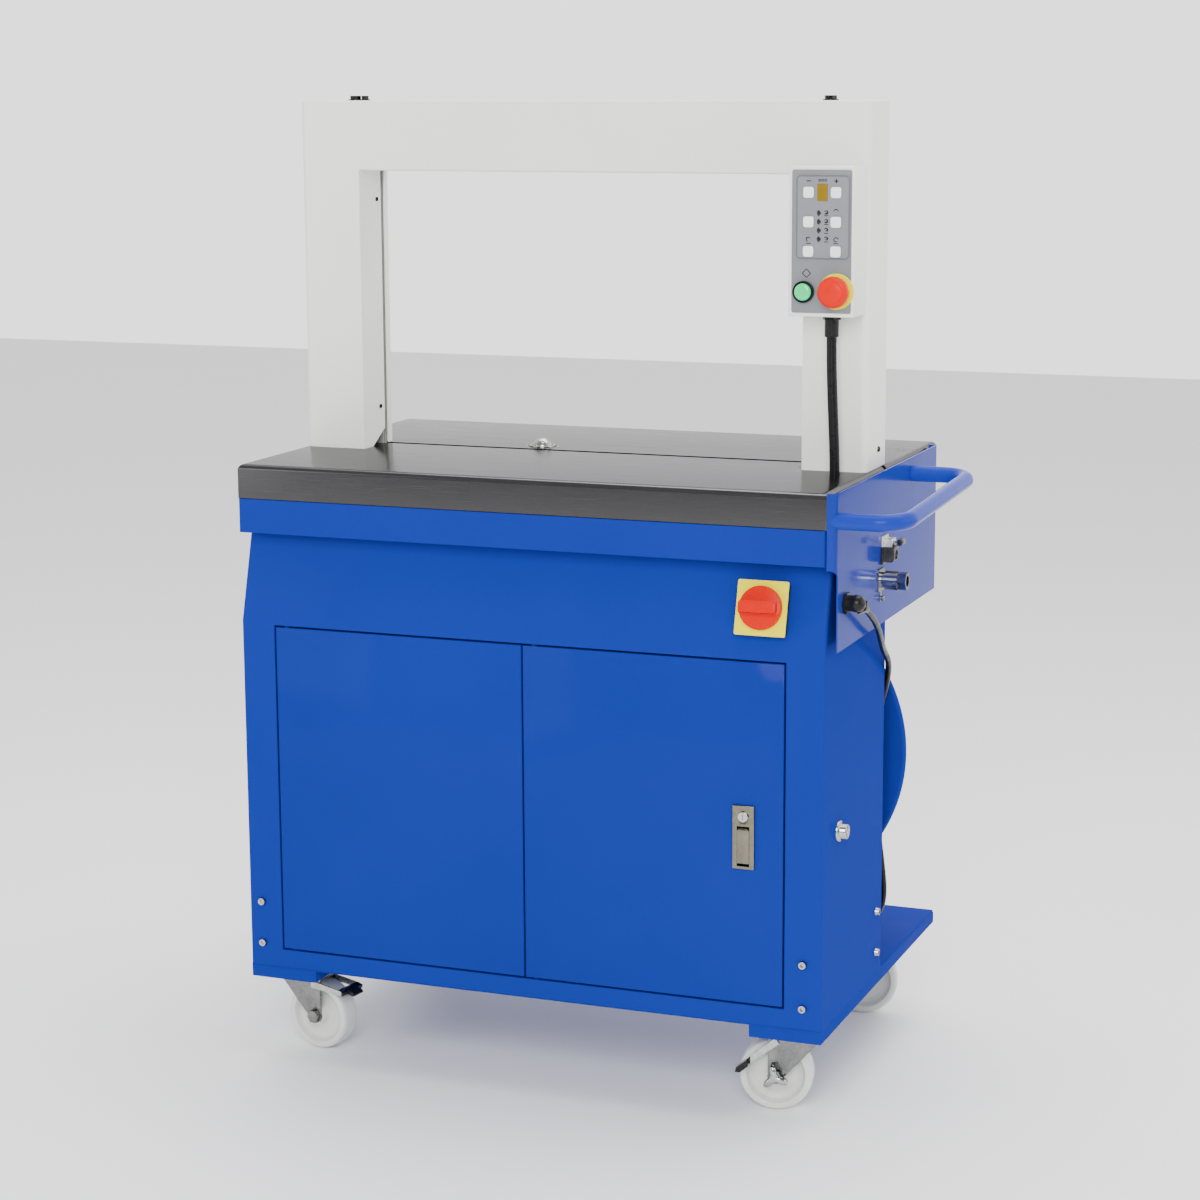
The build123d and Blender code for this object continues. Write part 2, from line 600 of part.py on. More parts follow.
def tube_along(points, radius):
    """Round tube along straight runs joined by tangent arcs."""
    radii = route_radii(points)
    spots = placed(points)
    with BuildLine():
        path = FilletPolyline(*spots, radius=radii)
    heading = Vector(*spots[1]) - Vector(*spots[0])
    with BuildSketch(Plane(origin=spots[0], z_dir=tuple(heading))) as section:
        Circle(radius)
    sweep(section.sketch, path=path)
    return path.length, radii


with BuildPart() as control_cable:
    tube_along(CONDUIT_ROUTE, CONDUIT_R)
keep(control_cable, "control_cable")

# ---------------------------------------------------------------- main switch on the fascia
SWITCH_X = 334.5
SWITCH_Z = 699.0
SWITCH_Y = FRONT + (SWITCH_Z - FASCIA_LOW) * SLOPE
TILT = radians(FASCIA_TILT)


def on_fascia(height):
    """Plane parallel to the fascia at the main switch, raised off the sheet."""
    origin = (
        ARCH_X + SWITCH_X,
        FRONT_Y + SWITCH_Y - height * cos(TILT),
        SWITCH_Z + height * sin(TILT),
    )
    return Plane(origin=origin, x_dir=(1, 0, 0), z_dir=(0, -cos(TILT), sin(TILT)))


with BuildPart() as switch_body:
    with BuildSketch(on_fascia(0.2)):
        RectangleRounded(64, 66, 3)
    extrude(amount=12.8)
    with BuildSketch(on_fascia(0)):
        Circle(4.06)
    extrude(amount=20, mode=Mode.SUBTRACT)
keep(switch_body, "switch_body")

with BuildPart() as switch_plate:
    with BuildSketch(on_fascia(13.1)):
        RectangleRounded(69, 72, 2.5)
        Circle(10, mode=Mode.SUBTRACT)
    extrude(amount=2.2)
    fillet(switch_plate.edges().group_by(Axis.Y)[0], radius=0.5)
keep(switch_plate, "switch_plate")

KNOB_R = 28.5
KNOB_LOW = 15.8
with BuildPart() as switch_knob:
    with BuildSketch(on_fascia(KNOB_LOW)):
        Circle(KNOB_R)
    extrude(amount=11)
    with BuildSketch(on_fascia(KNOB_LOW + 11)):
        Circle(KNOB_R - 3.5)
    extrude(amount=5)
    # grip left standing between two flats
    for way in (-1, 1):
        with BuildSketch(on_fascia(KNOB_LOW + 7)):
            with Locations((0, way * 21)):
                Rectangle(60, 26)
        extrude(amount=12, mode=Mode.SUBTRACT)
    with BuildSketch(on_fascia(KNOB_LOW + 6)):
        RectangleRounded(50, 15, 5)
    extrude(amount=16)
    with BuildSketch(on_fascia(1)):
        Circle(4.0)
    extrude(amount=KNOB_LOW + 2)
keep(switch_knob, "switch_knob")

# ---------------------------------------------------------------- doors and locks
LEFT_DOOR = (-DOOR_HALF + DOOR_GAP, -1.0)
RIGHT_DOOR = (2.0, DOOR_HALF - DOOR_GAP)
DOOR_Z = (DOOR_LOW + DOOR_GAP, DOOR_HIGH - DOOR_GAP)
LOCK_X = 312.8
LOCK_Z = (354.0, 440.0)


def door_tray(span, pin_x, pin_side):
    """Folded tray with a hinge block and pin in its top and bottom corner."""
    slab(span, (FRONT, FRONT + DOOR_DEPTH), DOOR_Z)
    slab(
        (span[0] + DOOR_SHEET, span[1] - DOOR_SHEET),
        (FRONT + DOOR_SHEET, FRONT + DOOR_DEPTH + 1),
        (DOOR_Z[0] + DOOR_SHEET, DOOR_Z[1] - DOOR_SHEET),
        mode=Mode.SUBTRACT,
    )
    for end, way in ((DOOR_Z[0], 1), (DOOR_Z[1], -1)):
        low, high = sorted((end, end + 22 * way))
        edge = span[0] + 0.5 if pin_side < 0 else span[1] - 0.5
        near, far = sorted((edge, pin_x - 7 * pin_side))
        slab((near, far), (FRONT + 0.5, FRONT + 14), (low, high))
        reach = sorted((end + 4 * way, end - (DOOR_GAP + SHEET + 4) * way))
        disc(level(reach[0]), (pin_x, PIN_Y), PIN_R, reach[1] - reach[0])


with BuildPart() as left_door:
    door_tray(LEFT_DOOR, LEFT_PIN_X, -1)
keep(left_door, "left_door")

with BuildPart() as right_door:
    door_tray(RIGHT_DOOR, RIGHT_PIN_X, -1)
    slab((LOCK_X - 12, LOCK_X + 12), (FRONT - 5, FRONT + 5), (LOCK_Z[0] + 3, LOCK_Z[1] - 3), mode=Mode.SUBTRACT)
keep(right_door, "right_door")

POCKET = (358.0, 412.0)
LEVER_PIVOT = (FRONT - 1.0, 364.0)
BUTTON_Z = 425.0
with BuildPart() as lock_housing:
    slab((LOCK_X - 15, LOCK_X + 15), (FRONT - 3.2, FRONT - 0.05), LOCK_Z)
    fillet(lock_housing.faces().sort_by(Axis.Y)[0].edges(), radius=1.0)
    slab((LOCK_X - 11.8, LOCK_X + 11.8), (FRONT - 1, FRONT + 15), (LOCK_Z[0] + 3.5, LOCK_Z[1] - 3.5))
    slab((LOCK_X - 8.6, LOCK_X + 8.6), (FRONT - 5, FRONT + 9), POCKET, mode=Mode.SUBTRACT)
    slab((LOCK_X - 3.4, LOCK_X + 3.4), (FRONT - 5, FRONT + 20), (POCKET[0] + 1, 392), mode=Mode.SUBTRACT)
    disc(facing(FRONT + 20), (LOCK_X, BUTTON_Z), 7.1, 30, mode=Mode.SUBTRACT)
    disc(side(LOCK_X - 11), LEVER_PIVOT, 1.56, 22, mode=Mode.SUBTRACT)
keep(lock_housing, "lock_housing")

with BuildPart() as lock_lever:
    slab((LOCK_X - 8.2, LOCK_X + 8.2), (FRONT - 3.6, FRONT - 0.2), (367, 409.5))
    fillet(edges_along(lock_lever, Axis.Y, (0, -20, 400), (500, 20, 500)), radius=5)
    outline(
        side(LOCK_X - 8.2),
        [(FRONT - 3.6, 369), (FRONT - 3.6, 362), (FRONT + 1.4, 361.5), (FRONT + 1.4, 369)],
        16.4,
    )
    outline(
        side(LOCK_X - 3),
        [(FRONT - 1, 361.5), (FRONT + 18, 361.5), (FRONT + 18, 371), (FRONT + 15.5, 371), (FRONT + 14.5, 365.5), (FRONT - 1, 366)],
        6,
    )
    disc(side(LOCK_X - 10.6), LEVER_PIVOT, 1.5, 21.2)
keep(lock_lever, "lock_lever")

with BuildPart() as lock_button:
    disc(facing(FRONT + 12), (LOCK_X, BUTTON_Z), 7.0, 17.2)
    fillet(lock_button.faces().sort_by(Axis.Y)[0].edges(), radius=0.8)
    slab((LOCK_X - 0.8, LOCK_X + 0.8), (FRONT - 6, FRONT - 3.2), (BUTTON_Z - 4, BUTTON_Z + 4), mode=Mode.SUBTRACT)
keep(lock_button, "lock_button")

with BuildPart() as side_lock:
    disc(side(HALF + 0.05), (73.0, 396.0), 14.5, 2.5)
    fillet(side_lock.faces().sort_by(Axis.X)[-1].edges(), radius=0.8)
    disc(side(HALF + 2), (73.0, 396.0), 10.4, 10)
    fillet(side_lock.faces().sort_by(Axis.X)[-1].edges(), radius=2.2)
    disc(side(HALF - 16), (73.0, 396.0), 9.1, 17)
    slab((HALF + 10, HALF + 15), (72.2, 73.8), (392, 400), mode=Mode.SUBTRACT)
keep(side_lock, "side_lock")

# ---------------------------------------------------------------- connectors on the bracket plate
SOCKET_Y = 222.0
SOCKET_Z = 749.0
ROUND_Y = 206.0
ROUND_Z = 711.0
FITTING_X = BRACKET_OUT + 0.02

with BuildPart() as pedal_socket:
    slab((FITTING_X, FITTING_X + 3), (SOCKET_Y - 14, SOCKET_Y + 14), (SOCKET_Z - 18, SOCKET_Z + 20))
    slab((FITTING_X, FITTING_X + 18), (SOCKET_Y - 11, SOCKET_Y + 11), (SOCKET_Z - 15, SOCKET_Z + 5))
    fillet(edges_along(pedal_socket, Axis.Y, (450, 150, 700), (470, 300, 740)), radius=5)
    # locking lever over the socket, on two cheeks
    for cheek in (-11, 8):
        outline(
            side(FITTING_X + 2),
            [
                (SOCKET_Y + cheek, SOCKET_Z + 4),
                (SOCKET_Y + cheek + 3, SOCKET_Z + 4),
                (SOCKET_Y + cheek + 3, SOCKET_Z + 16),
                (SOCKET_Y + cheek, SOCKET_Z + 16),
            ],
            12,
        )
    disc(facing(SOCKET_Y + 11), (FITTING_X + 10, SOCKET_Z + 12), 4.0, 22)
    slab((FITTING_X + 10, FITTING_X + 24), (SOCKET_Y - 7, SOCKET_Y + 7), (SOCKET_Z + 10.5, SOCKET_Z + 13.5))
    disc(facing(SOCKET_Y + 8), (FITTING_X + 24, SOCKET_Z + 12), 4.5, 16)
    # contact chamber in the end of the socket
    disc(side(FITTING_X + 8), (SOCKET_Y, SOCKET_Z - 6), 7.0, 20, mode=Mode.SUBTRACT)
    for way in (-3, 3):
        disc(side(FITTING_X + 6), (SOCKET_Y + way, SOCKET_Z - 6), 1.2, 9)
keep(pedal_socket, "pedal_socket")

with BuildPart() as round_connector:
    slab((FITTING_X, FITTING_X + 2.5), (ROUND_Y - 15, ROUND_Y + 15), (ROUND_Z - 15, ROUND_Z + 15))
    fillet(edges_along(round_connector, Axis.X, (400, 100, 600), (470, 300, 800)), radius=3)
    disc(side(FITTING_X + 2), (ROUND_Y, ROUND_Z), 10.5, 14)
    disc(side(FITTING_X + 8), (ROUND_Y, ROUND_Z), 12.5, 18)
    with BuildSketch(side(FITTING_X + 8)):
        with Locations((ROUND_Y, ROUND_Z)):
            with PolarLocations(13, 20):
                Rectangle(1.6, 1.6)
    extrude(amount=18, mode=Mode.SUBTRACT)
    with BuildSketch(side(FITTING_X + 25)):
        with Locations((ROUND_Y, ROUND_Z)):
            RegularPolygon(radius=12.5, side_count=6)
    extrude(amount=13)
    disc(side(FITTING_X + 28), (ROUND_Y, ROUND_Z), 7.5, 20, mode=Mode.SUBTRACT)
    # earth tag that hangs under the flange, with its screw
    slab((FITTING_X, FITTING_X + 1.6), (ROUND_Y - 4, ROUND_Y + 4), (ROUND_Z - 30, ROUND_Z - 13))
    disc(side(FITTING_X + 1), (ROUND_Y, ROUND_Z - 25), 3.6, 5)
keep(round_connector, "round_connector")

# ---------------------------------------------------------------- screws and bolts
SCREW_R = 6.0
SCREW_HIGH = 4.5


def button_screw(plane, centre, radius=SCREW_R, high=SCREW_HIGH):
    """Button-head screw with a hexagon socket, standing on a plane."""
    with BuildSketch(plane) as head:
        with Locations(centre):
            Circle(radius)
    extrude(head.sketch, amount=high, taper=14)
    with BuildSketch(plane.offset(high)) as socket:
        with Locations(centre):
            RegularPolygon(radius=radius * 0.45, side_count=6)
    extrude(socket.sketch, amount=-high * 0.55, mode=Mode.SUBTRACT)


with BuildPart() as frame_screws:
    for centre in ((-399.5, 236), (-399.5, 176), (395, 232), (395, 172)):
        button_screw(facing(FRONT - 0.03), centre)
    right_face = side(HALF + 0.03)
    left_face = Plane(origin=(ARCH_X - HALF - 0.03, FRONT_Y, 0), x_dir=(0, -1, 0), z_dir=(-1, 0, 0))
    for z in (232, 173):
        button_screw(right_face, (260, z))
        button_screw(left_face, (-260, z))
    for z in (1205, 910):
        button_screw(side(-ARCH_IN + 0.03), (255, z), 3.2, 1.8)
        right_wall = Plane(origin=(ARCH_X + ARCH_IN - 0.03, FRONT_Y, 0), x_dir=(0, -1, 0), z_dir=(-1, 0, 0))
        button_screw(right_wall, (-255, z), 3.2, 1.8)
    for face, y in ((side(ARCH_OUT + 0.03), 256), (left_face.offset(ARCH_OUT - HALF), -256)):
        button_screw(face, (y, 880), 4.0, 2.2)
    for x in (BALL_X - 24, BALL_X + 24):
        button_screw(level(TABLE_TOP - 1.5), (x, BALL_Y), 3.0, 2.0)
    for x, head in ((-350, 8.5), (-335, 5.5), (347, 8.5)):
        disc(level(ARCH_TOP + 0.03), (x, 246), head + 2, 1.4)
        with BuildSketch(level(ARCH_TOP + 1.4)):
            with Locations((x, 246)):
                RegularPolygon(radius=head, side_count=6)
        extrude(amount=5)
keep(frame_screws, "frame_screws")

# ---------------------------------------------------------------- strap reel
FLANGE_Y = 346.0
HUB_BACK = 540.0
SPINDLE_R = 12.5

with BuildPart() as reel_stand:
    slab((REEL_X - 60, REEL_X + 60), (BODY_BACK + 0.02, BODY_BACK + 5), (REEL_Z - 75, REEL_Z + 75))
    fillet(edges_along(reel_stand, Axis.Y, (0, 0, 0), (500, 500, 900)), radius=8)
    disc(facing(BODY_BACK + 46), (REEL_X, REEL_Z), 30.0, 42)
    for way in (-1, 1):
        outline(
            side(REEL_X - 3),
            [
                (BODY_BACK + 4, REEL_Z + way * 70),
                (BODY_BACK + 44, REEL_Z + way * 26),
                (BODY_BACK + 44, REEL_Z),
                (BODY_BACK + 4, REEL_Z),
            ],
            6,
        )
    disc(facing(570), (REEL_X, REEL_Z), SPINDLE_R, 570 - BODY_BACK - 40)
keep(reel_stand, "reel_stand")

with BuildPart() as reel_inner_flange:
    with BuildSketch(Plane(origin=(ARCH_X + REEL_X, FRONT_Y, REEL_Z), x_dir=(1, 0, 0), z_dir=(0, 0, 1))):
        with BuildLine():
            face = Polyline(
                (40.1, FLANGE_Y + 2.5),
                (40.1, FLANGE_Y),
                (150, FLANGE_Y),
                (165, FLANGE_Y - 6),
                (REEL_R - 6, FLANGE_Y - 6),
            )
            roll = ThreePointArc(face @ 1, (REEL_R, FLANGE_Y - 1), (REEL_R - 2, FLANGE_Y + 3))
            Polyline(roll @ 1, (REEL_R - 4.5, FLANGE_Y + 3), (REEL_R - 6.5, FLANGE_Y - 3.5), (166, FLANGE_Y - 3.5),
                     (151, FLANGE_Y + 2.5), (40.1, FLANGE_Y + 2.5))
        make_face()
    revolve(axis=Axis((ARCH_X + REEL_X, FRONT_Y, REEL_Z), (0, 1, 0)))
keep(reel_inner_flange, "reel_inner_flange")

with BuildPart() as reel_hub:
    disc(facing(HUB_BACK), (REEL_X, REEL_Z), 95.0, HUB_BACK - FLANGE_Y - 2.7)
    disc(facing(HUB_BACK - 6), (REEL_X, REEL_Z), 91.0, HUB_BACK - FLANGE_Y - 14, mode=Mode.SUBTRACT)
    disc(facing(HUB_BACK), (REEL_X, REEL_Z), 22.0, HUB_BACK - FLANGE_Y + 8)
    disc(facing(FLANGE_Y + 3), (REEL_X, REEL_Z), 40.0, 6)
    with BuildSketch(facing(HUB_BACK + 1)):
        with Locations((REEL_X, REEL_Z)):
            with PolarLocations(60, 6):
                Circle(22)
    extrude(amount=8, mode=Mode.SUBTRACT)
    disc(facing(HUB_BACK + 5), (REEL_X, REEL_Z), SPINDLE_R + 0.08, 300, mode=Mode.SUBTRACT)
keep(reel_hub, "reel_hub")

with BuildPart() as reel_outer_flange:
    disc(facing(HUB_BACK + 3), (REEL_X, REEL_Z), 150.0, 2.9)
    with BuildSketch(facing(HUB_BACK + 5)):
        with Locations((REEL_X, REEL_Z)):
            with PolarLocations(112, 8):
                SlotOverall(44, 26, rotation=90)
    extrude(amount=8, mode=Mode.SUBTRACT)
    disc(facing(HUB_BACK + 24), (REEL_X, REEL_Z), 26.0, 22)
    with BuildSketch(facing(HUB_BACK + 25)):
        with Locations((REEL_X, REEL_Z)):
            with PolarLocations(31, 6):
                Circle(9)
    extrude(amount=21, mode=Mode.SUBTRACT)
    disc(facing(HUB_BACK + 30), (REEL_X, REEL_Z), SPINDLE_R + 0.08, 60, mode=Mode.SUBTRACT)
keep(reel_outer_flange, "reel_outer_flange")

# ---------------------------------------------------------------- castors
PLATE_HALF = 39.0
FORK_TOP = CASTOR_HEIGHT - 3.4
LEG_IN = 18.0
LEG_OUT = 21.0
AXLE_R = 6.0
PEDAL_PIVOT = (30.0, 97.0)


def castor_side(place, out):
    """Plane along the trail, drawn in trail and height, at a distance out along the axle."""
    name, x, y, turn, brake = place
    angle = radians(turn)
    axle = Vector(sin(angle), -cos(angle), 0)
    origin = Vector(ARCH_X + x, FRONT_Y + y, 0) + axle * out
    return Plane(origin=origin, x_dir=(cos(angle), sin(angle), 0), z_dir=axle)


with BuildPart() as castor_plates:
    for name, x, y, turn, brake in CASTORS:
        slab((x - PLATE_HALF, x + PLATE_HALF), (y - PLATE_HALF, y + PLATE_HALF), (CASTOR_HEIGHT - 3, CASTOR_HEIGHT - 0.02))
    fillet(castor_plates.edges().filter_by(Axis.Z), radius=8)
keep(castor_plates, "castor_plates")

for place in CASTORS:
    name, x, y, turn, brake = place
    with BuildPart() as fork:
        disc(level(104.0), (x, y), 27.0, FORK_TOP - 104.0)
        for low in (-LEG_OUT, LEG_IN):
            with BuildSketch(castor_side(place, low)):
                with BuildLine():
                    Polyline((-33, 108), (38, 108), (38, 92), (CASTOR_TRAIL + 10, WHEEL_R), (CASTOR_TRAIL, WHEEL_R - 10),
                             (CASTOR_TRAIL - 9, WHEEL_R - 4), (-33, 103), (-33, 108))
                make_face()
            extrude(amount=LEG_OUT - LEG_IN)
            disc(castor_side(place, low), (CASTOR_TRAIL, WHEEL_R), 10.5, LEG_OUT - LEG_IN)
        with BuildSketch(castor_side(place, -LEG_OUT)):
            with BuildLine():
                Polyline((-33, 104), (38, 104), (38, 108), (-33, 108), close=True)
            make_face()
        extrude(amount=2 * LEG_OUT)
        disc(castor_side(place, -30), (CASTOR_TRAIL, WHEEL_R), AXLE_R + 0.06, 60, mode=Mode.SUBTRACT)
        if brake:
            disc(castor_side(place, -30), PEDAL_PIVOT, 3.06, 60, mode=Mode.SUBTRACT)
        # axle bolt with its head and nut, a solid of its own beside the fork
        disc(castor_side(place, -LEG_OUT - 6), (CASTOR_TRAIL, WHEEL_R), AXLE_R, 2 * LEG_OUT + 12)
        for low in (-LEG_OUT - 6.5, LEG_OUT + 0.1):
            with BuildSketch(castor_side(place, low)):
                with Locations((CASTOR_TRAIL, WHEEL_R)):
                    RegularPolygon(radius=9.6, side_count=6)
            extrude(amount=6.4)
    keep(fork, f"{name}_fork")

    with BuildPart() as wheel:
        disc(castor_side(place, -WHEEL_HALF), (CASTOR_TRAIL, WHEEL_R), WHEEL_R, 2 * WHEEL_HALF)
        fillet(wheel.edges().filter_by(GeomType.CIRCLE), radius=4)
        for low in (-WHEEL_HALF, WHEEL_HALF - 6):
            with BuildSketch(castor_side(place, low)):
                with Locations((CASTOR_TRAIL, WHEEL_R)):
                    Circle(39)
                    Circle(15, mode=Mode.SUBTRACT)
            extrude(amount=6, mode=Mode.SUBTRACT)
        fillet(wheel.edges().filter_by(GeomType.CIRCLE).filter_by(lambda e: 38 < e.radius < 40), radius=2.5)
        disc(castor_side(place, -30), (CASTOR_TRAIL, WHEEL_R), AXLE_R + 0.08, 60, mode=Mode.SUBTRACT)
    keep(wheel, f"{name}_wheel")

    if brake:
        # the left pedal bridges the wheel; the right one is a lever on the outside of its fork
        bridging = name == "front_left"
        lift = -6 if bridging else -38
        with BuildPart() as pedal:
            along = Vector(cos(radians(lift)), sin(radians(lift)), 0)
            across = Vector(-along.Y, along.X, 0)

            def arm_point(reach, rise):
                """Point of the pedal's side view, measured along and across its arm."""
                spot = Vector(*PEDAL_PIVOT, 0) + along * reach + across * rise
                return (spot.X, spot.Y)

            for low in (-LEG_OUT - 2.6, LEG_OUT + 0.6) if bridging else (-LEG_OUT - 2.6,):
                outline(
                    castor_side(place, low),
                    [arm_point(-6, -5), arm_point(46, -4), arm_point(50, 1), arm_point(46, 3), arm_point(-6, 5)],
                    2,
                )
            if bridging:
                outline(
                    castor_side(place, -LEG_OUT - 2.6),
                    [arm_point(40, -2), arm_point(51, -3), arm_point(51, 2), arm_point(40, 3)],
                    2 * LEG_OUT + 5.2,
                )
                outline(
                    castor_side(place, -11),
                    [arm_point(50, -3), arm_point(60, -5), arm_point(62, -2), arm_point(57, 2), arm_point(50, 2)],
                    22,
                )
            else:
                outline(
                    castor_side(place, -LEG_OUT - 12),
                    [arm_point(43, -4), arm_point(60, -4.5), arm_point(65, 0), arm_point(60, 4), arm_point(43, 3.5)],
                    11.4,
                )
            for low in (-LEG_OUT - 2, LEG_IN + 0.2) if bridging else (-LEG_OUT - 2,):
                disc(castor_side(place, low), PEDAL_PIVOT, 3.0, LEG_OUT - LEG_IN + 1.8)
        keep(pedal, f"{name}_pedal")

# ---------------------------------------------------------------- sealing unit under the table
UNIT_PLATE = 770.0
CAM_Z = 705.0
CAM_R = 10.0

with BuildPart() as sealing_head:
    slab((-HALF + 3, HALF - 3), (215, 335), (UNIT_PLATE, UNIT_PLATE + 6))
    slab((-95, 95), (STRAP_Y - 34, STRAP_Y + 21), (UNIT_PLATE + 5, TABLE_TOP - 14))
    for x in (-48, 0, 48):
        slab((x - 15, x + 15), (STRAP_Y - 15, STRAP_Y + 15), (UNIT_PLATE - 5, TABLE_TOP), mode=Mode.SUBTRACT)
    # press plate that closes the slot under the package
    slab((-95, 95), (STRAP_Y - SLOT / 2 + 0.6, STRAP_Y + SLOT / 2 - 0.6), (TABLE_TOP - 15, TABLE_TOP - 9))
    for x in (-88, 80):
        slab((x, x + 8), (STRAP_Y - 30, STRAP_Y + 30), (CAM_Z - 26, UNIT_PLATE + 1))
    disc(side(-95), (STRAP_Y, CAM_Z), CAM_R + 0.06, 190, mode=Mode.SUBTRACT)
keep(sealing_head, "sealing_head")

with BuildPart() as cam_shaft:
    disc(side(-100), (STRAP_Y, CAM_Z), CAM_R, 202)
    for step, x in enumerate((-62, -34, -6, 22, 50)):
        angle = radians(72 * step)
        lobe = (STRAP_Y + 7 * cos(angle), CAM_Z + 7 * sin(angle))
        disc(side(x), lobe, 22.0, 12)
keep(cam_shaft, "cam_shaft")

with BuildPart() as drive_motor:
    slab((102.5, 172), (STRAP_Y - 44, STRAP_Y + 44), (CAM_Z - 44, CAM_Z + 44))
    fillet(drive_motor.edges(), radius=6)
    disc(side(171), (STRAP_Y, CAM_Z), 46.0, 150)
    disc(side(320), (STRAP_Y, CAM_Z), 49.0, 30)
    with BuildSketch(side(185)):
        with Locations((STRAP_Y, CAM_Z)):
            with PolarLocations(51, 24):
                Rectangle(12, 2.2)
    extrude(amount=120)
    slab((200, 270), (STRAP_Y - 70, STRAP_Y - 30), (CAM_Z - 30, CAM_Z + 30))
keep(drive_motor, "drive_motor")

# ---------------------------------------------------------------- mains lead
CORD_R = 4.25
GLAND_Y = 40.0
GLAND_Z = 709.0
GLAND_OUT = 450.0
EXIT_TILT = radians(-20.0)
TAIL_END = 46.0           # end of the tapered tail, from the elbow


def toward_exit(distance):
    """Point on the line that the lead leaves the elbow by."""
    return (GLAND_OUT, GLAND_Y + distance * cos(EXIT_TILT), GLAND_Z + distance * sin(EXIT_TILT))


with BuildPart() as mains_gland:
    with BuildSketch(side(BRACKET_OUT + 0.02)):
        with Locations((GLAND_Y, GLAND_Z)):
            RegularPolygon(radius=15, side_count=6)
    extrude(amount=5)
    disc(side(BRACKET_OUT + 4), (GLAND_Y, GLAND_Z), 10.5, GLAND_OUT - BRACKET_OUT - 4)
    with Locations((ARCH_X + GLAND_OUT, FRONT_Y + GLAND_Y, GLAND_Z)):
        Sphere(11.5)
    exit_dir = (0, cos(EXIT_TILT), sin(EXIT_TILT))
    root = Vector(ARCH_X + GLAND_OUT, FRONT_Y + GLAND_Y, GLAND_Z)
    with BuildSketch(Plane(origin=root, z_dir=exit_dir)):
        Circle(9.5)
    extrude(amount=14)
    with BuildSketch(Plane(origin=root + Vector(*exit_dir) * 12, z_dir=exit_dir)):
        RegularPolygon(radius=11.5, side_count=6)
    extrude(amount=9)
    with BuildSketch(Plane(origin=root + Vector(*exit_dir) * 20, z_dir=exit_dir)):
        Circle(8.0)
    with BuildSketch(Plane(origin=root + Vector(*exit_dir) * TAIL_END, z_dir=exit_dir)):
        Circle(5.3)
    loft()
keep(mains_gland, "mains_gland")

CORD_ROUTE = [
    toward_exit(TAIL_END),
    (449.5, 121, 675),
    (446, 160, 652),
    (439, 198, 629),
    (431.5, 238, 608),
    (428.5, 279, 584),
    (418, 309, 551),
    (405, 321, 509),
    (400, 323, 463),
    (399, 320, 416),
    (401, 316, 370),
    (407, 314, 324),
    (413, 314, 280),
    (415, 319, 243),
    (408, 331, 215),
    (394, 350, 197),
    (375, 373, 188),
    (352, 398, 182.6),
]
COIL_X = 310.0
COIL_Y = 385.0
COIL_MID = 47.3           # between the coil's inner and outer turns
COIL_WIDE = 17.6
COIL_HIGH = 35.2
COIL_TURNS = 7.22
TAIL_ROUTE = [
    (305.7, 436.4, 173.8),
    (281, 438, 170),
    (256, 439, 163.5),
    (231, 439, 159),
]
PLUG_X = 231.0
PLUG_Y = 439.0
PLUG_Z = 159.0

with BuildPart() as mains_cord:
    run_length, run_radii = tube_along(CORD_ROUTE, CORD_R)
    tail_length, tail_radii = tube_along(TAIL_ROUTE, CORD_R)
keep(mains_cord, "mains_cord")
for corner_radius in run_radii + tail_radii:
    print("cord radius", round(corner_radius, 1))
section = pi * CORD_R**2
print("cord runs", round(run_length, 1), round(tail_length, 1))
print("cord length", round(run_length + tail_length + COIL_TURNS * 2 * pi * COIL_MID))
print("cord volume", round(mains_cord.part.volume), "section x length", round(section * (run_length + tail_length)))

with BuildPart() as mains_coil:
    with BuildSketch(level(BODY_LOW + 0.02)):
        with Locations((COIL_X, COIL_Y)):
            Circle(COIL_MID + COIL_WIDE / 2)
            Circle(COIL_MID - COIL_WIDE / 2, mode=Mode.SUBTRACT)
    extrude(amount=COIL_HIGH)
    fillet(mains_coil.edges().filter_by(GeomType.CIRCLE), radius=4.0)
keep(mains_coil, "mains_coil")

with BuildPart() as mains_plug:
    end = Plane(origin=(ARCH_X + PLUG_X, FRONT_Y + PLUG_Y, PLUG_Z), z_dir=(-1, 0, 0))
    with BuildSketch(end):
        Circle(5.4)
    with BuildSketch(end.offset(26)):
        Circle(8.5)
    loft()
    with BuildSketch(end.offset(25)):
        Circle(11)
    with BuildSketch(end.offset(38)):
        RectangleRounded(26, 36, 10)
    loft()
    with BuildSketch(end.offset(38)):
        RectangleRounded(26, 36, 10)
    extrude(amount=22)
    with BuildSketch(end.offset(59)):
        for way in (-9.5, 9.5):
            with Locations((0, way)):
                Circle(2.4)
    extrude(amount=20)
keep(mains_plug, "mains_plug")
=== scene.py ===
"""Strapping machine: finishes for its frame pieces, and the pieces whose shape is worked out here.

Lengths are in metres.  at() turns the machine's own measures in millimetres (x right from the
middle of the arch, y back from the table's front edge, z up from the floor) into the frame's.
"""
import json
import math

import bpy
import numpy as np
from bpy.props import FloatProperty, FloatVectorProperty, IntProperty, PointerProperty
from bpy.types import Operator, Panel, PropertyGroup
from mathutils import Matrix, Vector

